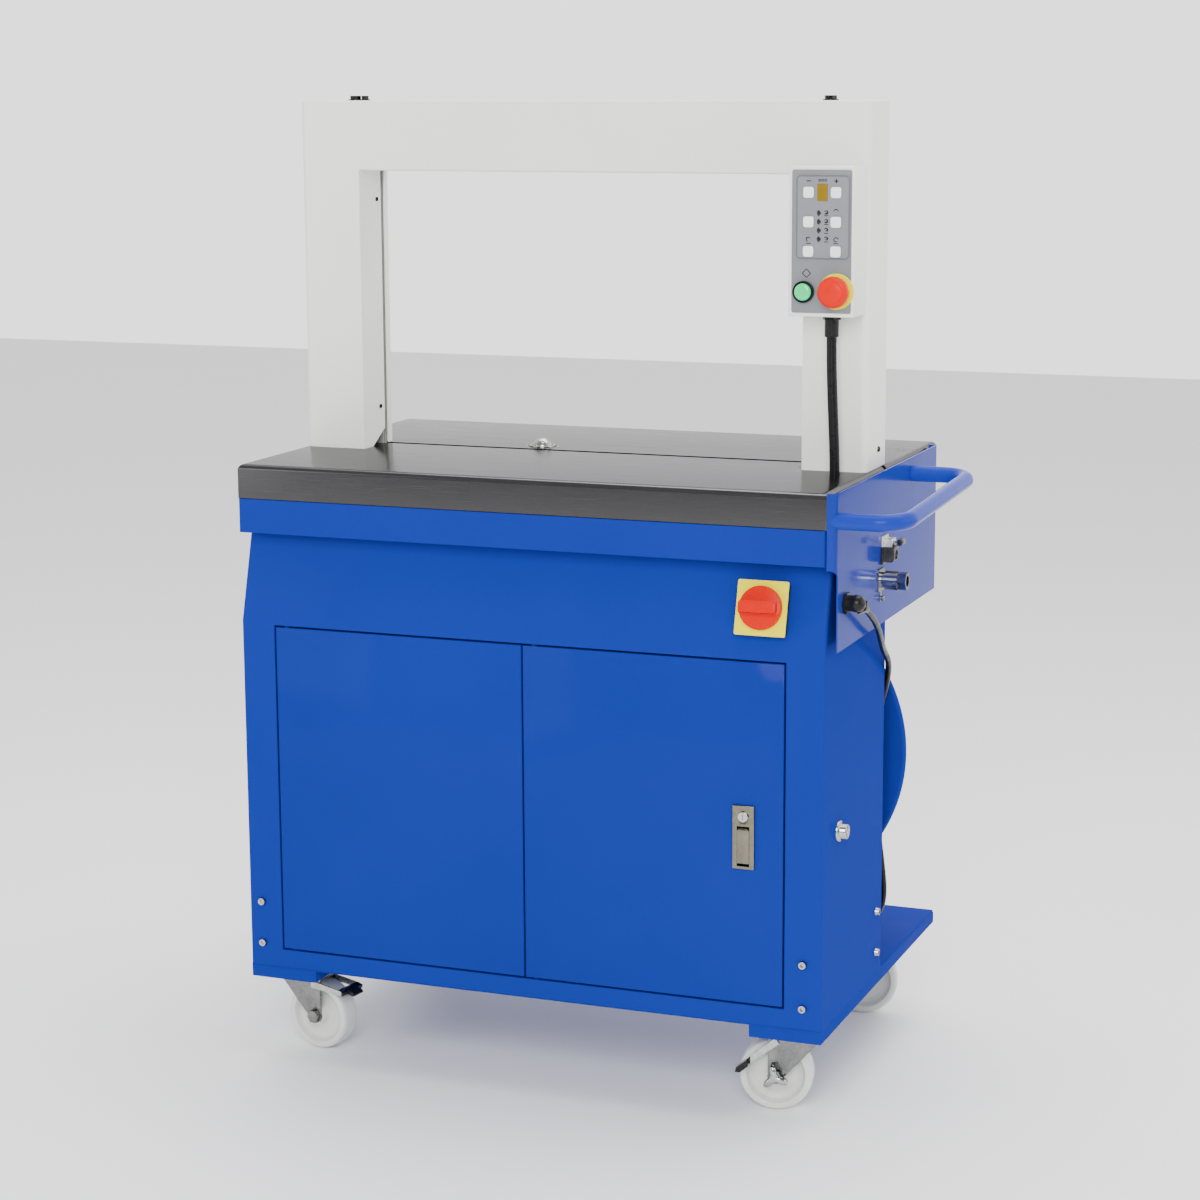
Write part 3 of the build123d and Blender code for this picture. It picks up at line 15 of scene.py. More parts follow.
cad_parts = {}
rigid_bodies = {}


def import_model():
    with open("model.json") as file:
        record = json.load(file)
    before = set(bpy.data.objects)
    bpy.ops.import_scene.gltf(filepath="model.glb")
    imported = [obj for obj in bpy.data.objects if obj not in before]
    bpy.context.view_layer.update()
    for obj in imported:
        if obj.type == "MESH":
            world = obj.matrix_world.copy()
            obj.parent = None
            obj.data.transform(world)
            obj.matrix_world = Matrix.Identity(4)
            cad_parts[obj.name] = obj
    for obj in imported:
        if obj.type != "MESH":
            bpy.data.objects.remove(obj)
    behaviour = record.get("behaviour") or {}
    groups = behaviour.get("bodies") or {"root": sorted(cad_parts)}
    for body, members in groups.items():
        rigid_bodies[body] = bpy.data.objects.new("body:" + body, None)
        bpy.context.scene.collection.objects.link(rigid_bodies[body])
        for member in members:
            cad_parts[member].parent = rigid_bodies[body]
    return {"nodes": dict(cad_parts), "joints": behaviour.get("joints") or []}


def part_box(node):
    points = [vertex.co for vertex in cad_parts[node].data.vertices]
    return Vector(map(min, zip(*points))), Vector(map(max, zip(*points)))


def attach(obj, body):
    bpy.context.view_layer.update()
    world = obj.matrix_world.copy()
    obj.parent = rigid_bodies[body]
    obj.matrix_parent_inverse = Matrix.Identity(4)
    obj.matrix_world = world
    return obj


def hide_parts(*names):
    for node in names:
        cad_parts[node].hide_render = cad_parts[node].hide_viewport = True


bl_info = {
    "name": "Strapping machine",
    "version": (1, 0, 0),
    "blender": (4, 5, 0),
    "location": "View3D > Sidebar > Strapping",
    "description": "Finishes and detail pieces of an arch strapping machine",
    "category": "Object",
}

for default_object in list(bpy.data.objects):
    bpy.data.objects.remove(default_object)
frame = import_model()
NODES = frame["nodes"]
JOINTS = {joint["name"]: joint for joint in frame["joints"]}
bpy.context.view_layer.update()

ARCH_X = -53.5
FRONT_Y = -277.2
MM = 0.001
CASTORS = ("front_left", "front_right", "rear_left", "rear_right")
FAR = 9.0
WELD_DISTANCE = 0.000005
SOFT_ANGLE = math.radians(28)
BEVEL_ANGLE = math.radians(40)
MIX_FACTOR, MIX_FIRST, MIX_SECOND, MIX_RESULT = 0, 6, 7, 2


def at(x, y, z):
    """Machine measures in millimetres as a point of the frame in metres."""
    return Vector(((x + ARCH_X) * MM, (y + FRONT_Y) * MM, z * MM))


# ------------------------------------------------------------------ sizes and colours
def colour_property(name, description, default):
    """A colour that the sidebar shows with a swatch."""
    return FloatVectorProperty(
        name=name, description=description, default=default, min=0.0, max=1.0, subtype="COLOR", size=3
    )


class MachineColours(PropertyGroup):
    """Colours of the machine's paints, plastics and metals."""

    cabinet: colour_property("Cabinet", "Gloss paint of the cabinet", (0.011, 0.026, 0.245))
    arch: colour_property("Arch", "Satin paint of the arch and control box", (0.80, 0.81, 0.76))
    stainless: colour_property("Stainless", "Brushed table plates", (0.20, 0.197, 0.202))
    zinc: colour_property("Zinc", "Plated castors and screws", (0.21, 0.212, 0.205))
    nylon: colour_property("Nylon", "Castor wheels", (0.62, 0.635, 0.60))
    panel: colour_property("Panel", "Foil on the control box", (0.165, 0.172, 0.19))
    stop: colour_property("Stop", "Stop button and switch knob", (0.62, 0.006, 0.0))
    warning: colour_property("Warning", "Yellow plate and collar", (0.78, 0.70, 0.0))
    start: colour_property("Start", "Start button lens", (0.0, 0.42, 0.13))


class LeadSizes(PropertyGroup):
    """Sizes of the mains lead."""

    diameter: FloatProperty(
        name="Diameter", description="Outside of the sheath", default=0.0085, min=0.003, unit="LENGTH"
    )
    inner_turns: FloatProperty(
        name="Inner turns", description="Radius of the coil's inner turns", default=0.0430, unit="LENGTH"
    )
    outer_turns: FloatProperty(
        name="Outer turns", description="Radius of the coil's outer turns", default=0.0516, unit="LENGTH"
    )
    points_per_turn: IntProperty(
        name="Points", description="Control points in one turn of the coil", default=16, min=12
    )


class WheelSizes(PropertyGroup):
    """Sizes of a castor wheel."""

    radius: FloatProperty(name="Radius", description="Tread radius", default=0.050, unit="LENGTH")
    half_width: FloatProperty(
        name="Half width", description="Half the tread width", default=0.016, unit="LENGTH"
    )
    web: FloatProperty(
        name="Web", description="Half the thickness of the web", default=0.0060, unit="LENGTH"
    )


class StudioSizes(PropertyGroup):
    """Camera and light of the stage."""

    lens: FloatProperty(name="Lens", description="Focal length in millimetres", default=84.70)
    key_power: FloatProperty(name="Key", description="Power of the front light", default=220.0, unit="POWER")
    fill_power: FloatProperty(name="Fill", description="Power of the left light", default=45.0, unit="POWER")
    side_power: FloatProperty(name="Side", description="Power of the right light", default=25.0, unit="POWER")
    top_power: FloatProperty(name="Top", description="Power of the top light", default=110.0, unit="POWER")


# ------------------------------------------------------------------ shapes from formulas
def mesh_piece(name, points, faces, material, body, replaced=(), smooth=True):
    """A closed mesh piece at the origin that rides on a body and hides the CAD pieces it replaces."""
    mesh = bpy.data.meshes.new(name)
    mesh.from_pydata(points.tolist(), [], faces.tolist() if hasattr(faces, "tolist") else faces)
    mesh.polygons.foreach_set("use_smooth", np.full(len(mesh.polygons), smooth))
    mesh.update()
    piece = bpy.data.objects.new(name, mesh)
    bpy.context.scene.collection.objects.link(piece)
    mesh.materials.append(material)
    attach(piece, body)
    if replaced:
        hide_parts(*replaced)
    return piece


def axes_about(axis):
    """Two unit vectors square to an axis and to each other, as rows of an array with the axis."""
    forward = np.array(axis, float)
    forward /= np.linalg.norm(forward)
    helper = np.array((0.0, 0.0, 1.0)) if abs(forward[2]) < 0.9 else np.array((1.0, 0.0, 0.0))
    side = np.cross(helper, forward)
    side /= np.linalg.norm(side)
    return side, np.cross(forward, side), forward


def turned(profile, origin, axis, steps=96):
    """Surface of revolution: each profile point (radius, height) goes round the axis as
    origin + height * axis + radius * (cos a * side + sin a * up).  A profile that starts and
    ends on the axis closes in a pole; one that doesn't closes on itself."""
    side, up, forward = axes_about(axis)
    profile = np.array(profile, float)
    poles = profile[0, 0] < 1e-9 and profile[-1, 0] < 1e-9
    ring = profile[1:-1] if poles else profile
    angle = np.arange(steps) * (2 * math.pi / steps)
    round_about = np.outer(np.cos(angle), side) + np.outer(np.sin(angle), up)
    points = (
        np.array(origin)[None, None, :]
        + ring[:, 1][:, None, None] * forward[None, None, :]
        + ring[:, 0][:, None, None] * round_about[None, :, :]
    ).reshape(-1, 3)
    rows = len(ring)
    spans = rows - 1 if poles else rows
    low = (np.arange(spans)[:, None] * steps + np.arange(steps)[None, :]).ravel()
    low_next = (np.arange(spans)[:, None] * steps + (np.arange(steps)[None, :] + 1) % steps).ravel()
    high = (low + steps) % (rows * steps)
    high_next = (low_next + steps) % (rows * steps)
    faces = np.stack((low, low_next, high_next, high), axis=1).tolist()
    if poles:
        first, last = rows * steps, rows * steps + 1
        ends = np.array(origin)[None, :] + profile[[0, -1], 1][:, None] * forward[None, :]
        points = np.vstack((points, ends))
        around = np.arange(steps)
        after = (around + 1) % steps
        base = (rows - 1) * steps
        faces += np.stack((np.full(steps, first), after, around), axis=1).tolist()
        faces += np.stack((np.full(steps, last), base + around, base + after), axis=1).tolist()
    return points, faces


def rounded(profile, radius, steps=4):
    """A closed profile with each corner replaced by points of a quadratic curve
    (1-t)^2 a + 2 t (1-t) corner + t^2 b, a and b lying at most radius from the corner."""
    profile = np.array(profile, float)
    before = np.roll(profile, 1, axis=0) - profile
    after = np.roll(profile, -1, axis=0) - profile
    length_before = np.linalg.norm(before, axis=1, keepdims=True)
    length_after = np.linalg.norm(after, axis=1, keepdims=True)
    reach = np.minimum(radius, 0.45 * np.minimum(length_before, length_after))
    first = profile + before / length_before * reach
    last = profile + after / length_after * reach
    t = np.linspace(0.0, 1.0, steps)[None, :, None]
    first, corner, last = first[:, None, :], profile[:, None, :], last[:, None, :]
    curve = (1 - t) ** 2 * first + 2 * t * (1 - t) * corner + t**2 * last
    return curve.reshape(-1, 2)


def pillow(centre, half_x, half_z, height, power=5.0, rings=7, steps=40):
    """Key cap facing -y: a squircle |x|^n + |z|^n = 1 whose rings shrink as cos(t)^0.35 while the
    face rises as height * sin(t)^0.6; the back closes flat."""
    angle = np.arange(steps) * (2 * math.pi / steps)
    c, s = np.cos(angle), np.sin(angle)
    radial = (np.abs(c) ** power + np.abs(s) ** power) ** (-1.0 / power)
    t = np.linspace(0.0, 0.47 * math.pi, rings)
    shrink = np.cos(t) ** 0.35
    rise = height * np.sin(t) ** 0.6
    x = centre[0] + half_x * shrink[:, None] * (radial * c)[None, :]
    z = centre[2] + half_z * shrink[:, None] * (radial * s)[None, :]
    y = centre[1] - np.repeat(rise[:, None], steps, axis=1)
    points = np.stack((x, y, z), axis=2).reshape(-1, 3)
    around = np.arange(steps)
    after = (around + 1) % steps
    low = (np.arange(rings - 1)[:, None] * steps + around[None, :]).ravel()
    low_next = (np.arange(rings - 1)[:, None] * steps + after[None, :]).ravel()
    faces = np.stack((low, low_next, low_next + steps, low + steps), axis=1).tolist()
    faces.append(((rings - 1) * steps + around).tolist())
    faces.append(around[::-1].tolist())
    return points, faces


def flat_shape(outline, depth_from, depth_to):
    """A plate facing -y: an outline in x and z carried straight from one y to another."""
    outline = np.array(outline, float)
    count = len(outline)
    area = np.sum(outline[:, 0] * np.roll(outline[:, 1], -1) - np.roll(outline[:, 0], -1) * outline[:, 1])
    if area < 0:
        outline = outline[::-1]
    front = np.stack((outline[:, 0], np.full(count, depth_to), outline[:, 1]), axis=1)
    back = np.stack((outline[:, 0], np.full(count, depth_from), outline[:, 1]), axis=1)
    around = np.arange(count)
    after = (around + 1) % count
    faces = [around.tolist(), (around[::-1] + count).tolist()]
    faces += np.stack((around + count, after + count, after, around), axis=1).tolist()
    return np.vstack((front, back)), faces


def joined(shapes):
    """Several (points, faces) shapes as one."""
    points, faces, start = [], [], 0
    for shape_points, shape_faces in shapes:
        points.append(shape_points)
        faces += [[index + start for index in face] for face in shape_faces]
        start += len(shape_points)
    return np.vstack(points), faces


def stroke(ends, width):
    """Outline of a straight stroke between two points, width across."""
    a, b = (np.array(end, float) for end in ends)
    along = (b - a) / np.linalg.norm(b - a)
    across = np.array((-along[1], along[0])) * width / 2
    return np.array((a - across, b - across, b + across, a + across))


def bar(x, z, half_length, width):
    """Outline of a level stroke about its middle."""
    return stroke(((x - half_length, z), (x + half_length, z)), width)


def ring_strokes(centre, radius, width, start=0.0, stop=360.0, steps=14):
    """A ring or arc as short strokes: centre + radius * (cos a, sin a) between two angles."""
    angle = np.radians(np.linspace(start, stop, steps + 1))
    spots = np.stack((centre[0] + radius * np.cos(angle), centre[1] + radius * np.sin(angle)), axis=1)
    return [stroke(pair, width) for pair in zip(spots[:-1], spots[1:])]


# ------------------------------------------------------------------ finishes
class Finish:
    """A material whose colour, gloss and fine relief come from noise in the piece's own space."""

    def __init__(self, name, colour, roughness, metallic=0.0, **sockets):
        self.material = bpy.data.materials.new(name)
        self.material.use_nodes = True
        self.tree = self.material.node_tree
        self.shader = self.tree.nodes["Principled BSDF"]
        self.colour = (*colour, 1.0)
        self.roughness = roughness
        self.shader.inputs["Base Color"].default_value = self.colour
        self.shader.inputs["Roughness"].default_value = roughness
        self.shader.inputs["Metallic"].default_value = metallic
        for socket, value in sockets.items():
            self.shader.inputs[socket.replace("_", " ")].default_value = value
        self.place = self.tree.nodes.new("ShaderNodeTexCoord").outputs["Object"]
        self.relief = None

    def node(self, kind, **settings):
        """A new node with its settings and input values."""
        made = self.tree.nodes.new(kind)
        for key, value in settings.items():
            if key in made.inputs:
                made.inputs[key].default_value = value
            else:
                setattr(made, key, value)
        return made

    def link(self, output, socket):
        """Joins an output to an input."""
        self.tree.links.new(output, socket)

    def noise(self, scale, stretch=(1.0, 1.0, 1.0), detail=3.0, rough=0.55):
        """Noise of so many cells in a metre, drawn out along axes with a small stretch."""
        mapping = self.node("ShaderNodeMapping")
        mapping.inputs["Scale"].default_value = stretch
        self.link(self.place, mapping.inputs["Vector"])
        made = self.node("ShaderNodeTexNoise", Scale=scale, Detail=detail, Roughness=rough)
        self.link(mapping.outputs["Vector"], made.inputs["Vector"])
        return made.outputs["Fac"]

    def spread(self, value, low, high, start=0.3, stop=0.7):
        """A value between start and stop mapped to the range from low to high."""
        made = self.node("ShaderNodeMapRange")
        for index, number in enumerate((start, stop, low, high), start=1):
            made.inputs[index].default_value = number
        self.link(value, made.inputs[0])
        return made.outputs["Result"]

    def paint_zone(self, mask, colour):
        """Another colour where a mask is 1."""
        mix = self.node("ShaderNodeMix", data_type="RGBA")
        self.link(mask, mix.inputs[MIX_FACTOR])
        source = self.shader.inputs["Base Color"]
        if source.is_linked:
            self.link(source.links[0].from_socket, mix.inputs[MIX_FIRST])
        else:
            mix.inputs[MIX_FIRST].default_value = self.colour
        mix.inputs[MIX_SECOND].default_value = (*colour, 1.0)
        self.link(mix.outputs[MIX_RESULT], source)
        return self

    def tint(self, value, colour, most):
        """Moves the colour towards another where a noise value is high."""
        return self.paint_zone(self.spread(value, 0.0, most), colour)

    def gloss(self, value, change):
        """Lets the roughness wander about its middle."""
        low, high = self.roughness - change, self.roughness + change
        self.link(self.spread(value, max(low, 0.02), high), self.shader.inputs["Roughness"])
        return self

    def bump(self, value, depth, strength=0.5):
        """Adds fine relief of so many metres on top of what there is."""
        made = self.node("ShaderNodeBump", Strength=strength, Distance=depth)
        self.link(value, made.inputs["Height"])
        if self.relief is not None:
            self.link(self.relief, made.inputs["Normal"])
        self.relief = made.outputs["Normal"]
        self.link(self.relief, self.shader.inputs["Normal"])
        return self

    def zone(self, low, high, soft=0.0004):
        """1 inside a box of the frame and 0 outside, with a soft edge."""
        split = self.node("ShaderNodeSeparateXYZ")
        self.link(self.place, split.inputs["Vector"])
        product = None
        for axis in range(3):
            for edge, way in ((low[axis], 1.0), (high[axis], -1.0)):
                near, past = edge - soft * way, edge + soft * way
                ramp = self.spread(split.outputs[axis], 0.0, 1.0, near, past)
                if product is None:
                    product = ramp
                else:
                    times = self.node("ShaderNodeMath", operation="MULTIPLY")
                    self.link(product, times.inputs[0])
                    self.link(ramp, times.inputs[1])
                    product = times.outputs["Value"]
        return product


def shade(colour, factor):
    """A colour made lighter or darker."""
    return tuple(min(1.0, channel * factor) for channel in colour)


def gloss_paint(name, colour, roughness=0.2, peel=0.00006, **sockets):
    """Powder coat: orange peel about 3 mm across, a slow change of shade and fine specks."""
    finish = Finish(name, colour, roughness, **sockets)
    finish.tint(finish.noise(3.2, detail=2.0), shade(colour, 1.16), 0.55)
    finish.tint(finish.noise(900.0, detail=1.0), shade(colour, 0.82), 0.25)
    finish.gloss(finish.noise(14.0), 0.05)
    finish.bump(finish.noise(330.0, detail=1.5), peel, 0.35)
    finish.bump(finish.noise(2.6, detail=1.0), 0.004, 0.05)
    return finish


def brushed(name, colour, grain, roughness=0.27):
    """Rolled stainless: long fine scratches along the grain, darker bands along it and dull smears."""
    finish = Finish(name, colour, roughness, metallic=1.0, Specular_Tint=(0.44, 0.44, 0.45, 1.0))
    along_lines, along_bands = [1.0, 1.0, 1.0], [1.0, 1.0, 1.0]
    along_lines[grain], along_bands[grain] = 0.012, 0.05
    lines = finish.noise(1500.0, stretch=along_lines, detail=4.0, rough=0.7)
    bands = finish.noise(120.0, stretch=along_bands, detail=2.0)
    finish.tint(lines, shade(colour, 1.35), 0.6)
    finish.tint(bands, shade(colour, 0.72), 0.45)
    finish.tint(finish.noise(5.0, detail=4.0), shade(colour, 0.85), 0.4)
    finish.gloss(lines, 0.10)
    finish.bump(lines, 0.00002, 0.4)
    return finish


def skirted_table(colour):
    """Brushed plate whose front skirt, turned to the dim side of the room, is painted darker: a painted dim
    reflection.
    """
    finish = brushed("brushed table", colour, 0, 0.19)
    bend = 4.5
    # painted shade: the skirt ahead of the bend takes a darker copy of the steel, standing in for the dim
    # room it reflects
    mask = finish.zone((-FAR, -FAR, -FAR), (FAR, at(0, bend, 0).y, FAR), bend * MM)
    return finish.paint_zone(mask, shade(colour, 0.42))


def plated(name, colour, roughness=0.28, blotch=0.8):
    """Zinc or chrome plate: blotches a few millimetres across, with shallow pits."""
    finish = Finish(name, colour, roughness, metallic=1.0, Specular_Tint=(0.5, 0.5, 0.5, 1.0))
    finish.tint(finish.noise(260.0, detail=4.0), shade(colour, 0.62), blotch)
    finish.tint(finish.noise(60.0, detail=2.0), shade(colour, 1.25), 0.5)
    finish.gloss(finish.noise(180.0, detail=4.0), min(0.12, roughness * 0.6))
    finish.bump(finish.noise(1400.0, detail=2.0), 0.00003, 0.3)
    return finish


def moulded(name, colour, roughness=0.4, grain=1100.0, depth=0.00005, **sockets):
    """Moulded plastic: a fine grain and a slow change of shade."""
    finish = Finish(name, colour, roughness, **sockets)
    finish.tint(finish.noise(40.0, detail=3.0), shade(colour, 0.86), 0.5)
    finish.tint(finish.noise(grain * 0.8, detail=1.0), shade(colour, 1.2), 0.35)
    finish.gloss(finish.noise(90.0), min(0.07, roughness * 0.5))
    finish.bump(finish.noise(grain, detail=2.0), depth, 0.35)
    return finish


FINISHES = {}


def finishes():
    """Every finish of the machine, made once from the sidebar's colours."""
    if FINISHES:
        return FINISHES
    tone = bpy.context.scene.strapping_colours
    cabinet, arch, panel = tuple(tone.cabinet), tuple(tone.arch), tuple(tone.panel)
    zinc, nylon = tuple(tone.zinc), tuple(tone.nylon)
    stop, warning, start = tuple(tone.stop), tuple(tone.warning), tuple(tone.start)
    deep = {"Specular_IOR_Level": 0.0, "Coat_Roughness": 0.08}
    no_glare = {"Specular_IOR_Level": 0.1}
    made = {
        "blue": gloss_paint("cabinet blue gloss", cabinet, Coat_Weight=0.03, **deep),
        # the bracket plate gets a lighter copy of the cabinet blue: painted light on the right side
        "side": gloss_paint(
            "bracket blue gloss", shade(cabinet, 1.05), Specular_IOR_Level=0.02, Coat_Weight=0.14
        ),
        # the push handle gets a lighter copy of the cabinet blue: painted light
        "handle_painted_light": gloss_paint("handle blue gloss", shade(cabinet, 1.25), 0.16, Specular_IOR_Level=0.06),
        # the doors get a darker copy of the cabinet blue: painted shade
        "door": gloss_paint("door blue gloss", shade(cabinet, 0.96), Coat_Weight=0.05, **deep),
        "arch": gloss_paint("arch grey satin", arch, 0.34, Specular_IOR_Level=0.3),
        "motor": gloss_paint("motor grey", (0.09, 0.10, 0.11), 0.45, peel=0.00012),
        "table": skirted_table(tuple(tone.stainless)),
        "zinc": plated("zinc plate", zinc),
        "reel zinc": plated("galvanised reel", shade(zinc, 0.9), 0.36, 0.9),
        "chrome": plated("polished chrome", (0.42, 0.42, 0.41), 0.12, 0.5),
        "lock": plated("lock chrome", (0.17, 0.155, 0.12), 0.2, 0.5),
        "nylon": moulded(
            "white nylon", nylon, 0.42, 700.0, Subsurface_Weight=0.12, Subsurface_Scale=0.004
        ),
        "black": moulded("black plastic", (0.008, 0.008, 0.009), 0.3, Specular_IOR_Level=0.2),
        "bezel": moulded("black bezel", (0.005, 0.006, 0.006), 0.22, Specular_IOR_Level=0.15),
        "sheath": moulded(
            "black cable sheath", (0.006, 0.006, 0.007), 0.3, 500.0, Specular_IOR_Level=0.18
        ),
        "panel": moulded("grey panel foil", panel, 0.46, 1600.0, 0.00003),
        "pad": moulded("keypad foil", shade(panel, 1.08), 0.4, 1500.0, 0.00003),
        "rim": moulded("keypad rim", shade(panel, 0.62), 0.4, 1500.0, 0.00003),
        "key": moulded("white key", (0.86, 0.86, 0.88), 0.34, 1200.0),
        "ink": moulded("printed marks", (0.008, 0.009, 0.012), 0.6, 1500.0, 0.00001, **no_glare),
        "amber": moulded("amber window", (0.20, 0.125, 0.004), 0.3, 900.0, Specular_IOR_Level=0.15),
        "lamp": moulded("dark lamp lens", (0.012, 0.010, 0.012), 0.12, 900.0, Coat_Weight=0.6),
        # painted glow: the unlit start lens is given an emission of its own green
        "green": moulded("green lens", start, 0.2, 800.0, Coat_Weight=0.1, Emission_Strength=1.3),
        "red": moulded("red button", stop, 0.3, 1000.0, **no_glare),
        "knob": moulded("red knob", shade(stop, 0.92), 0.3, 900.0, **no_glare),
        "yellow": moulded("yellow plate", warning, 0.36, 1000.0, Specular_IOR_Level=0.06),
        # strap track grey: partly its own grey, partly painted shade of the channel between the covers
        "track": moulded("grey track", (0.30, 0.305, 0.29), 0.5),
    }
    # colour of the start lens's painted glow
    made["green"].shader.inputs["Emission Color"].default_value = (*start, 1.0)
    FINISHES.update(made)
    return FINISHES


def soft_shading():
    """Geometry nodes that join a CAD piece's loose triangles and shade it smooth, except across
    edges sharper than SOFT_ANGLE."""
    group = bpy.data.node_groups.get("soft_shading")
    if group:
        return group
    group = bpy.data.node_groups.new("soft_shading", "GeometryNodeTree")
    group.interface.new_socket("Geometry", in_out="INPUT", socket_type="NodeSocketGeometry")
    group.interface.new_socket("Geometry", in_out="OUTPUT", socket_type="NodeSocketGeometry")
    start = group.nodes.new("NodeGroupInput")
    end = group.nodes.new("NodeGroupOutput")
    merge = group.nodes.new("GeometryNodeMergeByDistance")
    merge.inputs["Distance"].default_value = WELD_DISTANCE
    smooth = group.nodes.new("GeometryNodeSetShadeSmooth")
    smooth.domain = "FACE"
    angle = group.nodes.new("GeometryNodeInputMeshEdgeAngle")
    compare = group.nodes.new("FunctionNodeCompare")
    compare.data_type = "FLOAT"
    compare.operation = "GREATER_THAN"
    compare.inputs[1].default_value = SOFT_ANGLE
    sharp = group.nodes.new("GeometryNodeSetShadeSmooth")
    sharp.domain = "EDGE"
    sharp.inputs["Shade Smooth"].default_value = False
    joins = (
        (start.outputs[0], merge.inputs["Geometry"]),
        (merge.outputs[0], smooth.inputs["Geometry"]),
        (smooth.outputs[0], sharp.inputs["Geometry"]),
        (angle.outputs["Unsigned Angle"], compare.inputs[0]),
        (compare.outputs[0], sharp.inputs["Selection"]),
        (sharp.outputs[0], end.inputs[0]),
    )
    for output, socket in joins:
        group.links.new(output, socket)
    return group


def dress(finish, *names, edge=0.0):
    """Gives CAD pieces a finish, smooth shading and, where asked, small rounded edges."""
    for name in names:
        piece = NODES[name]
        piece.data.materials.clear()
        piece.data.materials.append(finishes()[finish].material)
        if edge:
            weld = piece.modifiers.new("Weld", "WELD")
            weld.merge_threshold = WELD_DISTANCE
            bevel = piece.modifiers.new("Edges", "BEVEL")
            bevel.width = edge
            bevel.segments = 2
            bevel.limit_method = "ANGLE"
            bevel.angle_limit = BEVEL_ANGLE
            bevel.use_clamp_overlap = True
        soft = piece.modifiers.new("Soft shading", "NODES")
        soft.node_group = soft_shading()


# ------------------------------------------------------------------ operators
class StrappingOperator(Operator):
    """Common options of the machine's operators."""

    bl_options = {"REGISTER", "UNDO"}


CAMERA_PLACE = (1435.09, -3396.96, 1389.14)


class STRAPPING_OT_camera(StrappingOperator):
    """Sets the camera in front of the machine, to its right and a little above the table"""

    bl_idname = "strapping.camera"
    bl_label = "Camera"

    def execute(self, context):
        data = bpy.data.cameras.new("camera")
        data.sensor_width = 36.0
        data.lens = context.scene.strapping_studio.lens
        data.clip_start, data.clip_end = 0.1, 60.0
        camera = bpy.data.objects.new("camera", data)
        context.scene.collection.objects.link(camera)
        yaw, pitch, roll = 0.3715, 0.187, -0.0052
        level = Vector((-math.sin(yaw), math.cos(yaw), 0.0))
        forward = level * math.cos(pitch) - Vector((0.0, 0.0, math.sin(pitch)))
        right = Vector((math.cos(yaw), math.sin(yaw), 0.0))
        up = right.cross(forward)
        rolled_right = math.cos(roll) * right + math.sin(roll) * up
        rolled_up = -math.sin(roll) * right + math.cos(roll) * up
        turn = Matrix((rolled_right, rolled_up, -forward)).transposed().to_4x4()
        camera.matrix_world = Matrix.Translation(at(*CAMERA_PLACE)) @ turn
        context.scene.camera = camera
        return {"FINISHED"}


ELBOW = (450.0, 40.0, 709.0)
EXIT_TILT = math.radians(-20.0)
TAIL_END = 46.0
LEAD_DOWN = (
    (449.5, 121, 675),
    (446, 160, 652),
    (439, 198, 629),
    (431.5, 238, 608),
    (428.5, 279, 584),
    (418, 309, 551),
    (405, 321, 509),
    (400, 323, 463),
    (399, 320, 416),
    (401, 316, 370),
    (407, 314, 324),
    (413, 314, 280),
    (415, 319, 243),
    (408, 331, 215),
    (394, 350, 197),
    (375, 373, 188),
    (352, 398, 182.6),
)
LEAD_TAIL = ((281, 438, 170), (256, 439, 163.5), (231, 439, 159))
COIL_X, COIL_Y = 310.0, 385.0
COIL_TOP = 173.8
LAYER = 8.8
FIRST_DROP = 7.0
COIL_START = math.radians(17.2)
COIL_TURNS = 7.2156


def step(value, start, stop):
    """Smooth step 3t^2 - 2t^3 between two values."""
    t = min(1.0, max(0.0, (value - start) / (stop - start)))
    return t * t * (3 - 2 * t)


def coil_points(inner, outer, per_turn):
    """The coil's turns: radius and layer against the turn number.  The lead winds down the inner
    column, steps out at the bottom, and winds up the outer column."""
    points = []
    count = int(COIL_TURNS * per_turn)
    for index in range(2, count + 1):
        turn = index / per_turn
        down = sum(step(turn, k + 0.75, k + 1.0) for k in range(3))
        rise = sum(step(turn, k + 0.25, k + 0.5) for k in (4, 5, 6))
        radius = inner + (outer - inner) * step(turn, 3.5, 3.75)
        angle = COIL_START + turn * 2 * math.pi
        drop = FIRST_DROP * (1.0 - step(turn, 0.0, 0.45))
        height = COIL_TOP + drop - LAYER * (down - rise)
        points.append((COIL_X + radius * math.cos(angle), COIL_Y + radius * math.sin(angle), height))
    return points


class STRAPPING_OT_mains_lead(StrappingOperator):
    """Hangs the mains lead from its gland behind the cabinet, to a coil and plug on the platform"""

    bl_idname = "strapping.mains_lead"
    bl_label = "Mains lead"

    def execute(self, context):
        sizes = context.scene.strapping_lead
        x, y, z = ELBOW
        leave = (x, y + TAIL_END * math.cos(EXIT_TILT), z + TAIL_END * math.sin(EXIT_TILT))
        route = [leave, *LEAD_DOWN]
        route += coil_points(sizes.inner_turns * 1000, sizes.outer_turns * 1000, sizes.points_per_turn)
        route += LEAD_TAIL
        curve = bpy.data.curves.new("mains_lead", "CURVE")
        curve.dimensions = "3D"
        curve.bevel_depth = sizes.diameter / 2
        curve.bevel_resolution = 4
        curve.use_fill_caps = True
        spline = curve.splines.new("NURBS")
        spline.points.add(len(route) - 1)
        for point, spot in zip(spline.points, route):
            point.co = (*at(*spot), 1.0)
        spline.order_u = 3
        spline.use_endpoint_u = True
        spline.resolution_u = 8
        lead = bpy.data.objects.new("mains_lead", curve)
        context.scene.collection.objects.link(lead)
        curve.materials.append(finishes()["sheath"].material)
        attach(lead, "machine")
        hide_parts("mains_cord", "mains_coil")
        dress("black", "mains_gland")
        dress("sheath", "mains_plug")
        return {"FINISHED"}


